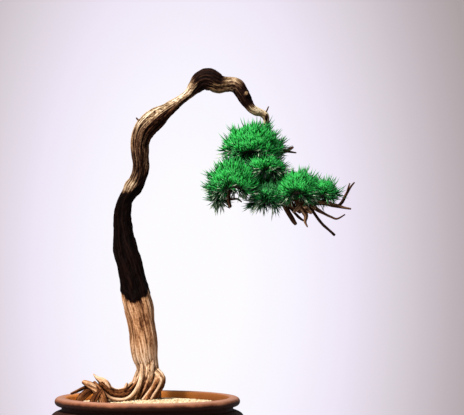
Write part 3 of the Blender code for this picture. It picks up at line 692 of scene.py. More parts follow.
def hollows(mesh, rounds):
    """How far each vertex lies below its smoothed neighbourhood, in metres."""
    edges = np.zeros(len(mesh.edges) * 2, np.int32)
    mesh.edges.foreach_get("vertices", edges)
    a, b = edges.reshape(-1, 2).T
    here, there = np.concatenate([a, b]), np.concatenate([b, a])
    places = vertex_places(mesh)
    count = np.bincount(here, minlength=len(places))[:, None]
    smooth = places
    for _ in range(rounds):
        total = [np.bincount(here, smooth[there, k], len(places)) for k in range(3)]
        smooth = np.stack(total, axis=1) / count
    return ((smooth - places) * vertex_normals(mesh)).sum(1)


def wood_piece(name, limbs, voxel, most_triangles, finish):
    """One closed skin round all the limbs, with the grain and tones of the nearest one."""
    points, faces, values = joined(limbs)
    piece = mesh_object(name, points, faces)
    remesh = piece.modifiers.new("skin", "REMESH")
    remesh.mode = "VOXEL"
    remesh.voxel_size = voxel
    remesh.use_smooth_shade = True
    apply_modifiers(piece)
    triangles = 2 * len(piece.data.polygons)
    if triangles > most_triangles:
        fewer = piece.modifiers.new("fewer", "DECIMATE")
        fewer.ratio = most_triangles / triangles
        apply_modifiers(piece)
    piece.data.shade_smooth()
    carried = carried_over(points, faces, values, vertex_places(piece.data))
    for attribute, column in (("grain", slice(3)), ("tone", 3), ("tint", 4), ("groove", 5)):
        set_attribute(piece, attribute, carried[:, column])
    set_attribute(piece, "hollow", hollows(piece.data, rounds=14) * 1000)
    settle(piece, [finish], "trunk")


def make_wood(finish):
    """The trunk with its roots as one piece, and the hanging branch with its twigs as another."""
    coarse = 1.0
    main = [trunk_limb()]
    main += [root_limb(rows, k, ROOT_TONES.get(k, PLAIN_ROOT)) for k, rows in enumerate(ROOTS)]
    for k, rows in enumerate(RIBBONS):
        main.append(root_limb(rows, 10 + k, RIBBON_TONE if k < PALE_RIBBONS else SHADED_HOLLOW_ROOT))
    for k, (rows, (tone, pale)) in enumerate(zip(SPURS, SPUR_TONES)):
        main.append(branch_limb(rows, 30 + k, 20, tone, pale))
    wood_piece("trunk_wood", main, TRUNK_VOXEL * coarse, MOST_TRUNK_TRIANGLES, finish)
    twigs = [branch_limb(DROP_BRANCH, 0, 32, 0.20, 3.4), branch_limb(LEFT_BRANCH, 1, 28, 0.20)]
    for k, rows in enumerate(DEAD_TWIGS):
        twigs.append(branch_limb(rows, 2 + k, 20, TWIG_TONES.get(k, PLAIN_TWIG)))
    wood_piece("branch_wood", twigs, BRANCH_VOXEL * coarse, MOST_BRANCH_TRIANGLES, finish)


# Materials

class Graph:
    """The nodes of a material or a world, with short names for the kinds that are used here."""

    def __init__(self, name, owners="materials"):
        self.owner = getattr(bpy.data, owners).new(name)
        self.owner.use_nodes = True
        self.tree = self.owner.node_tree

    def feed(self, node, inputs):
        """Links the node's inputs, by name or number, to sockets or sets them to values."""
        for key, value in inputs.items():
            if isinstance(value, bpy.types.NodeSocket):
                self.tree.links.new(value, node.inputs[key])
            else:
                node.inputs[key].default_value = value

    def node(self, kind, inputs=None, **settings):
        """A new node with these settings and inputs."""
        made = self.tree.nodes.new("ShaderNode" + kind)
        for key, value in settings.items():
            setattr(made, key, value)
        self.feed(made, inputs or {})
        return made

    def place(self):
        return self.node("TexCoord").outputs["Object"]

    def attribute(self, name, output="Fac"):
        return self.node("Attribute", attribute_name=name).outputs[output]

    def math(self, operation, a, b, clamp=False):
        return self.node("Math", {0: a, 1: b}, operation=operation, use_clamp=clamp).outputs[0]

    def swing(self, pattern, size):
        """A pattern from 0 to 1 as a change to both sides of nothing."""
        return self.math("MULTIPLY", self.math("SUBTRACT", pattern, 0.5), size)

    def vector(self, operation, a, b=(0.0, 0.0, 0.0), output="Vector"):
        return self.node("VectorMath", {0: a, 1: b}, operation=operation).outputs[output]

    def noise(self, place, scale, detail=2.0, roughness=0.5):
        return self.node("TexNoise", {"Vector": place, "Scale": scale, "Detail": detail,
                                      "Roughness": roughness}).outputs["Fac"]

    def span(self, value, low, high, to_low=0.0, to_high=1.0):
        """A smooth step from one number to another while the value goes from low to high."""
        inputs = {"Value": value, "From Min": low, "From Max": high, "To Min": to_low, "To Max": to_high}
        return self.node("MapRange", inputs, interpolation_type="SMOOTHSTEP").outputs["Result"]

    def ramp(self, value, stops):
        """A colour for the value, from stops of a place and a colour."""
        made = self.node("ValToRGB", {"Fac": value})
        elements = made.color_ramp.elements
        while len(elements) < len(stops):
            elements.new(0.5)
        for element, (place, colour) in zip(elements, stops):
            element.position = place
            element.color = (*colour, 1.0)
        return made.outputs["Color"]

    def mix(self, share, a, b, blend_type="MIX"):
        return self.node("Mix", {"Factor": share, 6: a, 7: b}, data_type="RGBA",
                         blend_type=blend_type).outputs[2]

    def over(self, colour, top, share, value, low, high, blend_type="MIX"):
        """The colour with another over it, by up to a share as the value goes from low to high."""
        return self.mix(self.span(value, low, high, 0.0, share), colour, (*top, 1.0), blend_type)

    def bump(self, height, distance, strength, normal=None):
        inputs = {"Strength": strength, "Distance": distance, "Height": height}
        if normal is not None:
            inputs["Normal"] = normal
        return self.node("Bump", inputs).outputs["Normal"]

    def surface(self, inputs):
        """The material, with these inputs of its shader."""
        self.feed(self.tree.nodes["Principled BSDF"], inputs)
        return self.owner


def shaded_worn_wood(g, patterns):
    """How pale the wood is: its tone, changed by patterns and their sizes, with painted shade that makes
    it darker in grooves and hollows and a touch paler on ridges."""
    tone = g.attribute("tone")
    lively = g.span(tone, 0.05, 0.35, 0.25, 1.0)
    change = g.swing(*patterns[0])
    for pattern, size in patterns[1:]:
        change = g.math("ADD", change, g.swing(pattern, size))
    worn_and_shaded = g.math("ADD", tone, g.math("MULTIPLY", change, lively))
    # Painted shade: darker in the grooves and in hollows below the smoothed skin, and a touch paler on
    # ridges
    groove = g.math("MULTIPLY", g.attribute("groove"), 0.16)
    worn_and_shaded = g.math("SUBTRACT", worn_and_shaded, g.math("MULTIPLY", groove, lively))
    hollow = g.span(g.attribute("hollow"), -0.6, 1.2, -0.10, 0.28)
    return g.math("SUBTRACT", worn_and_shaded, g.math("MULTIPLY", hollow, lively), clamp=True)


def wood_finish():
    """Long grain from black bark to bleached cream, with painted shade in grooves and hollows."""
    g = Graph("weathered_wood")
    grain = g.attribute("grain", "Vector")
    fibre = g.noise(g.vector("MULTIPLY", grain, (1.0, 1.0, 0.05)), 900.0, 3.0, 0.65)
    streak = g.noise(g.vector("MULTIPLY", grain, (1.0, 1.0, 0.08)), 300.0)
    mottle = g.noise(grain, 260.0, 3.0, 0.6)
    patch = g.noise(g.vector("MULTIPLY", grain, (1.0, 1.0, 0.10)), 90.0)
    worn_and_shaded = shaded_worn_wood(g, ((fibre, 0.55), (streak, 0.95), (mottle, 0.50), (patch, 0.75)))
    colour = g.ramp(worn_and_shaded, ((0.00, (0.0018, 0.0004, 0.0003)), (0.14, (0.012, 0.0042, 0.0026)),
                           (0.34, (0.070, 0.034, 0.018)), (0.52, (0.18, 0.108, 0.058)),
                           (0.70, (0.41, 0.28, 0.17)), (0.86, (0.64, 0.51, 0.35)),
                           (1.00, (0.84, 0.75, 0.62))))
    tint = g.attribute("tint")
    colour = g.over(colour, (1.0, 0.58, 0.35), 0.95, tint, 0.0, 1.0, "MULTIPLY")
    colour = g.over(colour, (0.80, 0.86, 0.55), 0.60, tint, 0.0, -1.0, "MULTIPLY")
    normal = g.bump(streak, 0.0012, 0.6, g.bump(fibre, 0.0006, 0.8))
    return g.surface({"Base Color": colour, "Roughness": g.span(worn_and_shaded, 0.0, 0.6, 0.60, 0.85),
                      "Specular IOR Level": 0.03, "Normal": normal})


def needle_finish():
    """Green by the needle's tone, with painted shade at its root, paler and fresher at its tip partly as
    a painted highlight, and pale when dry.
    """
    g = Graph("needle_green")
    tip = g.attribute("tip")
    colour = g.ramp(g.attribute("tone"), ((0.0, (0.002, 0.040, 0.007)), (0.5, (0.004, 0.190, 0.022)),
                                          (1.0, (0.008, 0.385, 0.040))))
    # Paler tip: partly fresh growth and partly a painted highlight
    colour = g.over(colour, (0.08, 0.62, 0.17), 0.28, tip, 0.5, 1.0)
    colour = g.mix(g.attribute("dry"), colour, (0.46, 0.56, 0.38, 1.0))
    # Painted shade: the needle turns near black towards its root, inside the shoot
    colour = g.over(colour, (0.003, 0.012, 0.003), 0.92, tip, 0.6, 0.0)
    return g.surface({"Base Color": colour, "Roughness": 0.45, "Specular IOR Level": 0.30})


def twig_finish():
    """Brown bark that turns green towards a shoot's tip."""
    g = Graph("twig_bark")
    colour = g.ramp(g.noise(g.place(), 400.0, 3.0), ((0.3, (0.016, 0.010, 0.006)),
                                                     (0.7, (0.075, 0.048, 0.026))))
    colour = g.over(colour, (0.005, 0.075, 0.010), 1.0, g.attribute("tip"), 0.3, 0.8)
    return g.surface({"Base Color": colour, "Roughness": 0.8})


def gravel_finish():
    """Cream to brown by the grain's tone, with fine speckles."""
    g = Graph("pale_gravel")
    colour = g.ramp(g.attribute("tone"), ((0.0, (0.30, 0.17, 0.07)), (0.25, (0.62, 0.42, 0.20)),
                                          (0.65, (0.82, 0.66, 0.40)), (1.0, (0.93, 0.85, 0.66))))
    speckle = g.noise(g.place(), 1800.0)
    colour = g.over(colour, (0.40, 0.27, 0.13), 0.30, speckle, 0.35, 0.7)
    return g.surface({"Base Color": colour, "Roughness": 0.9, "Normal": g.bump(speckle, 0.0003, 0.6)})


def clay_finish():
    """Mottled clay with a painted highlight on top of the lip, orange within with painted light and shade
    on the inner wall, and near black below the lip as painted shade over darker clay; faintly ringed.
    """
    g = Graph("terracotta_clay")
    place = g.place()
    normal = g.node("NewGeometry").outputs["Normal"]
    across, _, height = g.node("SeparateXYZ", {0: place}).outputs
    upward = g.node("SeparateXYZ", {0: normal}).outputs[2]
    outward = g.vector("DOT_PRODUCT", g.vector("MULTIPLY", place, (1.0, 1.0, 0.0)), normal, "Value")
    mottle = g.noise(place, 22.0, 5.0, 0.6)
    speckle = g.noise(place, 700.0, 2.0, 0.6)
    colour = g.ramp(mottle, ((0.30, (0.150, 0.045, 0.020)), (0.52, (0.250, 0.088, 0.042)),
                             (0.72, (0.330, 0.130, 0.068))))
    # Painted highlight: the upward-facing top of the lip is painted paler and pinker
    colour = g.over(colour, (0.52, 0.28, 0.20), 0.50, upward, 0.48, 1.0)
    inside = g.span(outward, -0.02, -0.12)
    # Painted light and shade on the inner wall: bright orange up to x of 85 mm, which takes in the
    # trunk's cast shadow, and painted darker beyond 125 mm, where the lamp lights it
    across = g.math("ADD", across, g.math("MULTIPLY", mottle, 0.03))
    wall = g.mix(g.span(across, 0.085, 0.125), (0.66, 0.22, 0.040, 1.0), (0.25, 0.080, 0.018, 1.0))
    colour = g.mix(g.math("MULTIPLY", inside, 0.9), colour, wall)
    # Painted shade over darker clay: below the lip's crest the outside turns near black, where the lip
    # shades it
    edge = g.math("ADD", height, g.swing(mottle, 0.008))
    below = g.math("MULTIPLY", g.span(edge, 0.1262, 0.1190), g.math("SUBTRACT", 1.0, inside))
    colour = g.mix(g.math("MULTIPLY", below, 0.95), colour, (0.011, 0.003, 0.002, 1.0))
    colour = g.over(colour, (0.08, 0.028, 0.015), 0.5, speckle, 0.60, 0.74)
    rings = g.noise(g.vector("MULTIPLY", place, (1.0, 1.0, 60.0)), 9.0, 3.0, 0.6)
    return g.surface({"Base Color": colour, "Roughness": g.span(mottle, 0.3, 0.7, 0.50, 0.72),
                      "Specular IOR Level": 0.08,
                      "Normal": g.bump(rings, 0.0010, 0.5, g.bump(speckle, 0.0004, 0.5))})


# Needles

class Cloud:
    """A cloud of needles: the wood that carries it and the row where its stem starts, the hub that its
    sprays spread from, how far they reach sideways, in depth, up and down, the number of its main twigs,
    and how much painted shade darkens it, where less than 0 lightens it.  The hub and reach are in
    millimetres."""

    def __init__(self, wood, row, hub, reach, twigs, shade=0.0):
        self.seat = np.array(wood[row][:3])
        self.hub = np.array(metres(hub))
        self.reach = metres(reach)
        self.twigs = twigs
        self.shade = shade

    def tallness(self, height):
        """The reach above the hub for heights over it, and the one below for the others."""
        return np.where(height > 0, self.reach[2], self.reach[3])

    def outside(self, lift, angle):
        """Offsets from the hub to the outside, for a lift from -1 to 1 and an angle about Z."""
        level = np.sqrt(np.maximum(0.0, 1.0 - lift ** 2))
        return about_axis(level, angle, self.tallness(lift) * lift) * (*self.reach[:2], 1.0)

    def area(self):
        """Rough area of the outside."""
        wide, deep, up, down = self.reach
        return 4 * math.pi * ((wide * deep * 2 + (wide + deep) * (up + down)) / 4) * 0.8

    def holds(self, places):
        """Whether each place lies deep inside."""
        offset = places - self.hub
        size = np.sqrt((offset[:, 0] / self.reach[0]) ** 2 + (offset[:, 1] / self.reach[1]) ** 2
                       + (offset[:, 2] / self.tallness(offset[:, 2])) ** 2)
        return size < 0.55


CLOUDS = {
    "foliage_top": Cloud(DROP_BRANCH, 4, (226, -18, 661), (83, 66, 72, 40), 22, -0.03),
    "foliage_top_back": Cloud(DROP_BRANCH, 5, (240, 50, 656), (60, 52, 56, 36), 10),
    "foliage_middle": Cloud(DROP_BRANCH, 7, (256, -30, 623), (56, 46, 36, 36), 9, -0.08),
    "foliage_left": Cloud(LEFT_BRANCH, 3, (185, -34, 583), (73, 52, 78, 38), 15),
    "foliage_left_tip": Cloud(LEFT_BRANCH, 4, (152, 4, 560), (18, 34, 36, 60), 8),
    "foliage_low": Cloud(DROP_BRANCH, 8, (258, -20, 557), (54, 48, 32, 40), 11, 0.42),
    "foliage_low_back": Cloud(DROP_BRANCH, 9, (268, 56, 588), (62, 48, 44, 38), 8),
    "foliage_right": Cloud(DROP_BRANCH, 10, (323, -32, 571), (61, 54, 60, 34), 14, -0.03),
    "foliage_right_back": Cloud(DROP_BRANCH, 11, (336, 48, 568), (56, 48, 50, 30), 7),
    "foliage_right_tip": Cloud(DROP_BRANCH, 13, (376, -8, 565), (51, 46, 44, 28), 10)}


def bezier(start, bend, end, t):
    """Points of curves from start to end, drawn towards bend."""
    return start * (1 - t) ** 2 + bend * 2 * t * (1 - t) + end * t * t


def bezier_slope(start, bend, end, t):
    """Directions of the same curves, one unit long."""
    slope = (bend - start) * (1 - t) + (end - bend) * t
    return slope / np.maximum(lengths(slope), 1e-9)


def sideways(along):
    """Two directions square to each given one."""
    helper = np.where(np.abs(along[..., 2:3]) < 0.9, (0.0, 0.0, 1.0), (1.0, 0.0, 0.0))
    side = np.cross(along, helper)
    side /= lengths(side)
    return side, np.cross(along, side)


def tubes(starts, bends, ends, thick, thin, rings, sides):
    """Closed tapering tubes along many curves at once: points and triangles."""
    starts, bends, ends = starts[:, None], bends[:, None], ends[:, None]
    share = np.linspace(0, 1, rings)[None, :, None]
    line = bezier(starts, bends, ends, share)
    side, up = sideways(bezier_slope(starts, bends, ends, share))
    width = (thick + (thin - thick) * share)[..., None] / 2
    out = spokes(side[:, :, None], up[:, :, None], np.arange(sides) * 2 * math.pi / sides)
    skin = line[:, :, None] + out * width
    count = len(starts)
    points = np.concatenate([skin.reshape(count, -1, 3), line[:, :1], line[:, -1:]], axis=1)
    return points.reshape(-1, 3), repeated(skin_faces(rings, sides), count, rings * sides + 2)


def blades(roots, tips, width, bow):
    """Closed three-sided needles that keep their width almost to the tip and bend upward."""
    along = tips - roots
    length = lengths(along)
    side, up = sideways(along / length)
    sag = np.array((0, 0, 1.0)) * bow * length
    points = []
    for share, part in ((0.0, 0.55), (NEEDLE_SHOULDER, 1.0)):
        middle = roots + along * share - sag * math.sin(math.pi * share)
        for k in range(3):
            angle = 2 * math.pi * k / 3
            points.append(middle + (side * math.cos(angle) + up * math.sin(angle)) * width * part / 2)
    points = np.stack([*points, tips], axis=1)
    pattern = [(2, 1, 0)]
    for k in range(3):
        after = (k + 1) % 3
        pattern += [(k, after, after + 3), (k, after + 3, k + 3), (k + 3, after + 3, 6)]
    return points.reshape(-1, 3), repeated(np.array(pattern), len(roots), len(NEEDLE_SHARES))


def main_sprays(cloud):
    """Start, bend and tip of the cloud's main twigs, which leave the hub and turn upward."""
    number = np.arange(cloud.twigs)
    target = cloud.outside(1.0 - 1.5 * (number + 0.5) / cloud.twigs, number * GOLDEN_ANGLE)
    tips = target * np.maximum(0.3, 1.0 - 1.3 * NEEDLE_LENGTH / lengths(target))
    return cloud.hub + 0 * tips, cloud.hub + tips * (0.55, 0.55, 0.38), cloud.hub + tips


def shoot_offsets(cloud, count, seed):
    """Offsets from the hub, spread evenly over the cloud's lumpy outside."""
    number = np.arange(count)
    angle = number * GOLDEN_ANGLE
    lowest = BACK_UNDERSIDE + (FRONT_UNDERSIDE - BACK_UNDERSIDE) * np.maximum(0.0, -np.sin(angle)) ** 0.5
    lowest = lowest + (SIDE_UNDERSIDE - lowest) * np.abs(np.cos(angle)) ** 1.5
    target = cloud.outside(1.0 - (1.0 - lowest) * (number + 0.5) / count, angle)
    lumps = smooth_noise(target * 42.0 + seed, seed)
    return target * (0.90 + 0.16 * np.clip(lumps, -1, 1))[:, None]


def shoots(name, rng):
    """Short shoots from the main twigs out to the cloud's outside: start, bend and tip."""
    cloud = CLOUDS[name]
    starts, bends, ends = (points[:, None] for points in main_sprays(cloud))
    share = np.linspace(0.30, 1.0, 8)[None, :, None]
    carriers = bezier(starts, bends, ends, share).reshape(-1, 3)
    slopes = bezier_slope(starts, bends, ends, share).reshape(-1, 3)
    spacing = SHOOT_SPACING * 1.0
    offsets = shoot_offsets(cloud, int(cloud.area() / spacing ** 2), 7)
    tips = cloud.hub + offsets * np.maximum(0.30, 1.0 - 0.85 * NEEDLE_LENGTH / lengths(offsets))
    tips = tips + offsets * (TIP_BEYOND - TIP_SHORT * rng.random((len(tips), 1)) ** TIP_SHORT_POWER)
    tips += rng.normal(size=tips.shape) * TIP_SCATTER
    tips = tips[~np.any([other.holds(tips) for other in CLOUDS.values() if other is not cloud], axis=0)]
    inward = tips + (cloud.hub - tips) * 0.35
    nearest = lengths(inward[:, None] - carriers[None]).argmin(axis=1)[:, 0]
    base = carriers[nearest]
    return base, base + slopes[nearest] * lengths(tips - base) * 0.45, tips


def needle_ways(cloud, roots, along, place, rng):
    """Directions of the needles: round their shoot, closer to it at its tip, and out of the cloud."""
    hub, reach = cloud.hub, cloud.reach
    outward = roots - hub
    outward[..., 0] -= np.clip(outward[..., 0], -PAD_MIDDLE * reach[0], PAD_MIDDLE * reach[0])
    outward[..., 2] += PAD_LIFT * reach[2]
    outward /= np.maximum(lengths(outward), 1e-6)
    along = (along + outward) * NEEDLE_SPREAD + NEEDLE_RISE
    along /= lengths(along)
    side, up = sideways(along)
    turn = rng.random((len(roots), 1)) * 6.28
    angle = (np.arange(NEEDLES_A_SHOOT) * GOLDEN_ANGLE)[None, :] + turn
    tilt = LOW_TILT + (TIP_TILT - LOW_TILT) * place + rng.normal(size=angle.shape) * TILT_CHANGE
    tilt = np.radians(tilt)
    way = spokes(along, spokes(side, up, angle), tilt)
    return way / lengths(way)


def needles_on(cloud, base, bend, tips, rng):
    """Roots and tips of the needles round each shoot, and the tone and dryness of each."""
    hub, reach = cloud.hub, cloud.reach
    spread = np.minimum(1.0, BRUSH_LENGTH / np.maximum(lengths(tips - base), 0.004))
    place = np.linspace(0.0, 1.0, NEEDLES_A_SHOOT)[None, :] ** 0.8
    share = (1.0 - spread * (1.0 - place))[..., None]
    curves = (base[:, None], bend[:, None], tips[:, None], share)
    roots = bezier(*curves)
    way = needle_ways(cloud, roots, bezier_slope(*curves), place, rng)
    each = way.shape[:2]
    size = NEEDLE_LENGTH * (NEEDLE_SHORTEST + NEEDLE_MORE * rng.random(each) ** LONG_ONES_RARE)
    ends = roots + way * size[..., None]
    rim = blend(*RIM, np.hypot((ends[..., 0] - hub[0]) / reach[0], (ends[..., 2] - hub[2]) / reach[2]))
    size *= 1.0 + rim * np.where(rng.random(each) < RIM_LONG_SHARE, RIM_LONGER, RIM_SHORTER)
    ends = roots + way * size[..., None]
    bright = np.where(rng.random(each) < DARK_SHARE, DARKER, BRIGHTER)
    bright += NEEDLE_TONE_CHANGE * rng.normal(size=each)
    tone = NEEDLE_TONE + SHOOT_TONE_CHANGE * rng.normal(size=(len(base), 1)) + bright
    height = np.clip((ends[..., 2] - hub[2]) / reach[2], -HIGH_LIMIT, HIGH_LIMIT)
    # Painted light and shade: brighter where needles point up and stand high, darker where they droop or
    # stand low, on shaded clouds and on the rim
    tone += UPRIGHT_PAINTED_LIGHT * way[..., 2] + HIGH_PAINTED_LIGHT * height - cloud.shade - RIM_SHADE * rim
    dry = rng.random(each) < DRY_SHARE * np.clip(DRY_SLOPE - way[..., 2], 0, 1)
    return roots.reshape(-1, 3), ends.reshape(-1, 3), np.clip(tone, 0, 1).ravel(), dry.ravel()


def woody_parts(cloud, base, bend, tips):
    """The cloud's stem, which sags a touch, its main twigs and its shoots: points and faces."""
    sagging = (cloud.seat + cloud.hub) / 2 - (0, 0, 0.004)
    stem = tubes(cloud.seat[None], sagging[None], cloud.hub[None], thick=0.0050, thin=0.0030,
                 rings=8, sides=7)
    mains = tubes(*main_sprays(cloud), thick=0.0030, thin=0.0016, rings=6, sides=5)
    return stem, mains, tubes(base, bend, tips, thick=0.0016, thin=0.0009, rings=3, sides=3)


def make_cloud(name, green, brown, seed):
    """One cloud as one piece: its stem, main twigs and shoots, and the needles on these."""
    cloud = CLOUDS[name]
    rng = np.random.default_rng(seed)
    base, bend, tips = shoots(name, rng)
    stem, mains, twigs = woody_parts(cloud, base, bend, tips)
    roots, ends, tone, dry = needles_on(cloud, base, bend, tips, rng)
    needles = blades(roots, ends, NEEDLE_WIDTH, bow=0.05)
    piece = mesh_object(name + "_needles", *stacked([needles, stem, mains, twigs]))
    settle(piece, [green, brown], name)
    woody = np.arange(len(piece.data.polygons)) >= len(needles[1])
    piece.data.polygons.foreach_set("material_index", woody.astype(np.int32))
    piece.data.shade_smooth()
    needle_tip = np.tile(NEEDLE_SHARES, len(roots))
    shoot_tip = np.tile(SHOOT_SHARES, len(base))
    rest = len(stem[0]) + len(mains[0])
    set_attribute(piece, "tip", np.concatenate([needle_tip, np.zeros(rest), shoot_tip]))
    rest += len(shoot_tip)
    for attribute, values in (("tone", tone), ("dry", dry)):
        values = np.repeat(values, len(NEEDLE_SHARES))
        set_attribute(piece, attribute, np.concatenate([values, np.zeros(rest)]))


def make_foliage(green, brown):
    for number, name in enumerate(CLOUDS):
        make_cloud(name, green, brown, 100 + number)


# Pot and gravel

def arc(middle, radius, start, stop, count):
    """Points of a circle arc in the profile's plane; the angles are in degrees."""
    result = []
    for k in range(count + 1):
        angle = math.radians(start + (stop - start) * k / count)
        result.append((middle[0] + radius * math.cos(angle), middle[1] + radius * math.sin(angle)))
    return result


def smooth_profile(points, count):
    """The smooth curve through a profile's points."""
    padded = [points[0], *points, points[-1]]
    result = []
    for i in range(len(points) - 1):
        for k in range(count):
            result.append(tuple(spline_point(*padded[i:i + 4], k / count)))
    return result + [tuple(points[-1])]


def turned(profile, sides):
    """Points and faces of a closed body turned about Z from a profile that runs from the axis
    back to the axis."""
    inner = np.array(profile[1:-1])
    angle = np.arange(sides) * 2 * math.pi / sides
    skin = about_axis(inner[:, :1], angle, inner[:, 1:]).reshape(-1, 3)
    points = np.concatenate([skin, [(0, 0, profile[0][1]), (0, 0, profile[-1][1])]])
    return points, skin_faces(len(inner), sides)


def pot_profile():
    """The pot's outline: up its outside, over the rolled lip and down its inside."""
    lip = LIP_HEIGHT / 2
    lip_middle = (LIP_RADIUS - lip, POT_HEIGHT - lip - 0.0006)
    return ([(0.0, 0.0), (FOOT_RADIUS - FOOT_BEVEL, 0.0), (FOOT_RADIUS, FOOT_BEVEL)]
            + smooth_profile(BODY, 5)
            + [(NECK_RADIUS - 0.0008, 0.1050), (NECK_RADIUS, POT_HEIGHT - LIP_HEIGHT)]
            + arc(lip_middle, lip, -80, 80, 14)
            + [(LIP_CREST_RADIUS, POT_HEIGHT), (MOUTH_RADIUS + 0.0042, POT_HEIGHT - 0.0010),
               (MOUTH_RADIUS + 0.0012, POT_HEIGHT - 0.0030), (MOUTH_RADIUS, POT_HEIGHT - 0.0070)]
            + smooth_profile(list(reversed(CAVITY)), 3)
            + [(0.0, POT_FLOOR)])


def drill_drains(pot):
    """Cuts the drain holes through the pot's floor."""
    top = POT_FLOOR + 0.01
    shaft = [(0.0, -0.01), (DRAIN_RADIUS, -0.01), (DRAIN_RADIUS, top), (0.0, top)]
    for k in range(DRAIN_HOLES):
        angle = math.radians(45) + 2 * math.pi * k / DRAIN_HOLES
        hole = mesh_object("drain_hole", *turned(shaft, 32))
        hole.location = (DRAIN_RING_RADIUS * math.cos(angle), DRAIN_RING_RADIUS * math.sin(angle), 0.0)
        cut = pot.modifiers.new("hole", "BOOLEAN")
        cut.operation = "DIFFERENCE"
        cut.object = hole
        bpy.context.view_layer.update()
        apply_modifiers(pot)
        bpy.data.objects.remove(hole)


def roughen(pot):
    """Makes the pot's skin a touch uneven, inward only, and leaves its underside flat."""
    places = vertex_places(pot.data)
    wander = smooth_noise(places * (14, 14, 30), 31) * CLAY_WOBBLE
    wander[places[:, 2] < FOOT_BEVEL + 0.001] = 0.0
    places += vertex_normals(pot.data) * np.minimum(wander, 0.0)[:, None]
    pot.data.vertices.foreach_set("co", places.astype(np.float32).ravel())


def make_pot(finish):
    """The turned pot, a touch uneven, with its drain holes."""
    pot = mesh_object("pot_clay", *turned(pot_profile(), POT_SIDES))
    drill_drains(pot)
    roughen(pot)
    pot.data.shade_smooth()
    pot.data.set_sharp_from_angle(angle=math.radians(50))
    settle(pot, [finish], "pot")


def soil_height(radius):
    """Height of the mound at a distance from the pot's axis."""
    share = np.minimum(1.0, radius / MOUTH_RADIUS)
    return SOIL_CREST - (SOIL_CREST - SOIL_EDGE) * share ** SOIL_MOUND_POWER


def soil_profile():
    """The outline of the soil under its gravel: up along the pot's cavity and over the mound."""
    floor = POT_FLOOR + 0.0004
    wall = [(radius - GAP, height) for radius, height in smooth_profile(CAVITY, 2)]
    top = [(SOIL_RADIUS * share, soil_height(SOIL_RADIUS * share) - GRAVEL_DEPTH)
           for share in np.linspace(1, 0, 24)[:-1]]
    return ([(0.0, floor), (CAVITY[0][0] - GAP, floor)] + wall[1:] + top
            + [(0.0, SOIL_CREST - GRAVEL_DEPTH)])


def grain_shape():
    """Corners and faces of an icosahedron one unit across."""
    gold = (1 + math.sqrt(5)) / 2
    corners = np.array([(-1, gold, 0), (1, gold, 0), (-1, -gold, 0), (1, -gold, 0), (0, -1, gold),
                        (0, 1, gold), (0, -1, -gold), (0, 1, -gold), (gold, 0, -1), (gold, 0, 1),
                        (-gold, 0, -1), (-gold, 0, 1)])
    faces = np.array([(0, 11, 5), (0, 5, 1), (0, 1, 7), (0, 7, 10), (0, 10, 11), (1, 5, 9), (5, 11, 4),
                      (11, 10, 2), (10, 7, 6), (7, 1, 8), (3, 9, 4), (3, 4, 2), (3, 2, 6), (3, 6, 8),
                      (3, 8, 9), (4, 9, 5), (2, 4, 11), (6, 2, 10), (8, 6, 7), (9, 8, 1)])
    return corners / np.linalg.norm(corners[0]) / 2, faces


def grain_places(count, rng):
    """Middles of the grains, spread evenly over the mound, and the size of each."""
    number = np.arange(count)
    radius = (SOIL_RADIUS - 0.0016) * np.sqrt((number + 0.5) / count)
    angle = number * GOLDEN_ANGLE
    places = about_axis(radius, angle, 0.0)
    places[:, :2] += rng.normal(size=(count, 2)) * 0.0008
    places[:, :2] *= np.minimum(1.0, (SOIL_RADIUS - 0.0018) / lengths(places[:, :2]))
    size = GRAIN_SIZE * (0.70 + 0.55 * rng.random(count) ** 2)
    places[:, 2] = soil_height(lengths(places[:, :2])[:, 0]) - 0.0017 + rng.random(count) * 0.0012
    return places, size


def grains(count, rng):
    """Points and faces of uneven grains, each turned its own way."""
    places, size = grain_places(count, rng)
    corners, faces = grain_shape()
    shape = corners[None] * (0.72 + 0.5 * rng.random((count, len(corners), 1)))
    axes = np.linalg.qr(rng.normal(size=(count, 3, 3)))[0]
    shape = np.einsum("nij,nkj->nki", axes, shape * (1.15, 0.95, 0.75)) * size[:, None, None]
    return (places[:, None] + shape).reshape(-1, 3), repeated(faces, count, len(corners))


def make_soil(finish):
    """The mound of soil with single grains of gravel on it."""
    rng = np.random.default_rng(GRAVEL_SEED)
    spacing = GRAIN_SPACING * 1.0
    count = int(math.pi * SOIL_RADIUS ** 2 / spacing ** 2)
    body = turned(soil_profile(), 96)
    soil = mesh_object("gravel_soil", *stacked([body, grains(count, rng)]))
    tone = np.clip(0.55 + 0.28 * rng.normal(size=count), 0, 1)
    tone = np.repeat(tone, len(grain_shape()[0]))
    set_attribute(soil, "tone", np.concatenate([np.full(len(body[0]), SOIL_TONE), tone]))
    soil.data.shade_smooth()
    settle(soil, [finish], "soil")


# Stage

def area_light(name, place, size, power, colour):
    """A round lamp that points at the tree."""
    lamp = bpy.data.lights.new(name, "AREA")
    lamp.shape = "DISK"
    lamp.size = size
    lamp.energy = power
    lamp.color = colour
    thing = add_object(name, lamp)
    thing.location = place
    thing.rotation_euler = (Vector(LIT_PLACE) - Vector(place)).to_track_quat("-Z", "Y").to_euler()


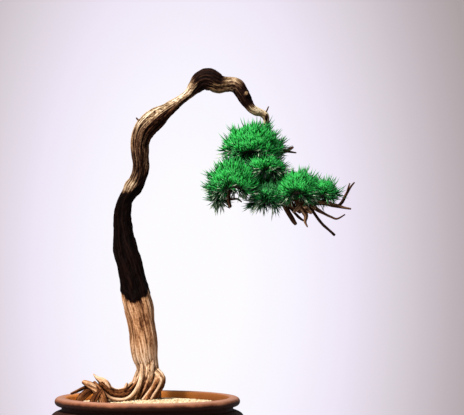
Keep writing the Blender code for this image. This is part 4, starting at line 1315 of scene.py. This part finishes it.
def make_backdrop():
    """Near white behind the tree and pale lavender elsewhere, a painted pool of light that falls off to
    darker mauve far out, and a softer light from all round.
    """
    g = Graph("pale_room", "worlds")
    bpy.context.scene.world = g.owner
    place = g.vector("MULTIPLY", g.node("TexCoord").outputs["Generated"], BACKDROP_SHAPE)
    share = g.math("DIVIDE", g.vector("DISTANCE", place, BACKDROP_MIDDLE, "Value"), BACKDROP_REACH)
    seen = g.tree.nodes["Background"]
    g.feed(seen, {"Color": g.ramp(share, BACKDROP)})
    light = g.node("Background", {"Color": AMBIENT_COLOUR, "Strength": AMBIENT})
    choice = g.node("MixShader", {0: g.node("LightPath").outputs["Is Camera Ray"],
                                  1: light.outputs[0], 2: seen.outputs[0]})
    g.feed(g.tree.nodes["World Output"], {"Surface": choice.outputs[0]})


def make_floor():
    """A pale round floor that fades out into the backdrop."""
    outline = [(0.0, -0.02), (FLOOR_RADIUS, -0.02), (FLOOR_RADIUS, FLOOR_TOP), (0.0, FLOOR_TOP)]
    floor = mesh_object("floor", *turned(outline, 96))
    g = Graph("pale_floor")
    distance = g.vector("LENGTH", g.place(), output="Value")
    low, high = (share * FLOOR_RADIUS for share in FLOOR_FADE)
    floor.data.materials.append(g.surface({"Base Color": FLOOR_COLOUR, "Roughness": 0.9,
                                           "Alpha": g.span(distance, low, high, 1.0, 0.0)}))


def make_stage():
    make_backdrop()
    make_floor()
    area_light("key", *KEY_LIGHT)
    area_light("fill", *FILL_LIGHT)


def make_camera():
    """Level with the tree's middle, far off, and tipped down a touch."""
    data = bpy.data.cameras.new("camera")
    data.lens = CAMERA_LENS
    data.sensor_width = SENSOR_WIDTH
    camera = add_object("camera", data)
    camera.location = CAMERA_PLACE
    dip = math.atan2(CAMERA_PLACE[2] - CAMERA_AIM_HEIGHT, -CAMERA_PLACE[1])
    camera.rotation_euler = (math.radians(90) - dip, 0.0, 0.0)
    bpy.context.scene.camera = camera


def main():
    bpy.context.scene.view_settings.view_transform = "Standard"
    make_wood(wood_finish())
    make_foliage(needle_finish(), twig_finish())
    make_pot(clay_finish())
    make_soil(gravel_finish())
    make_stage()
    make_camera()


main()
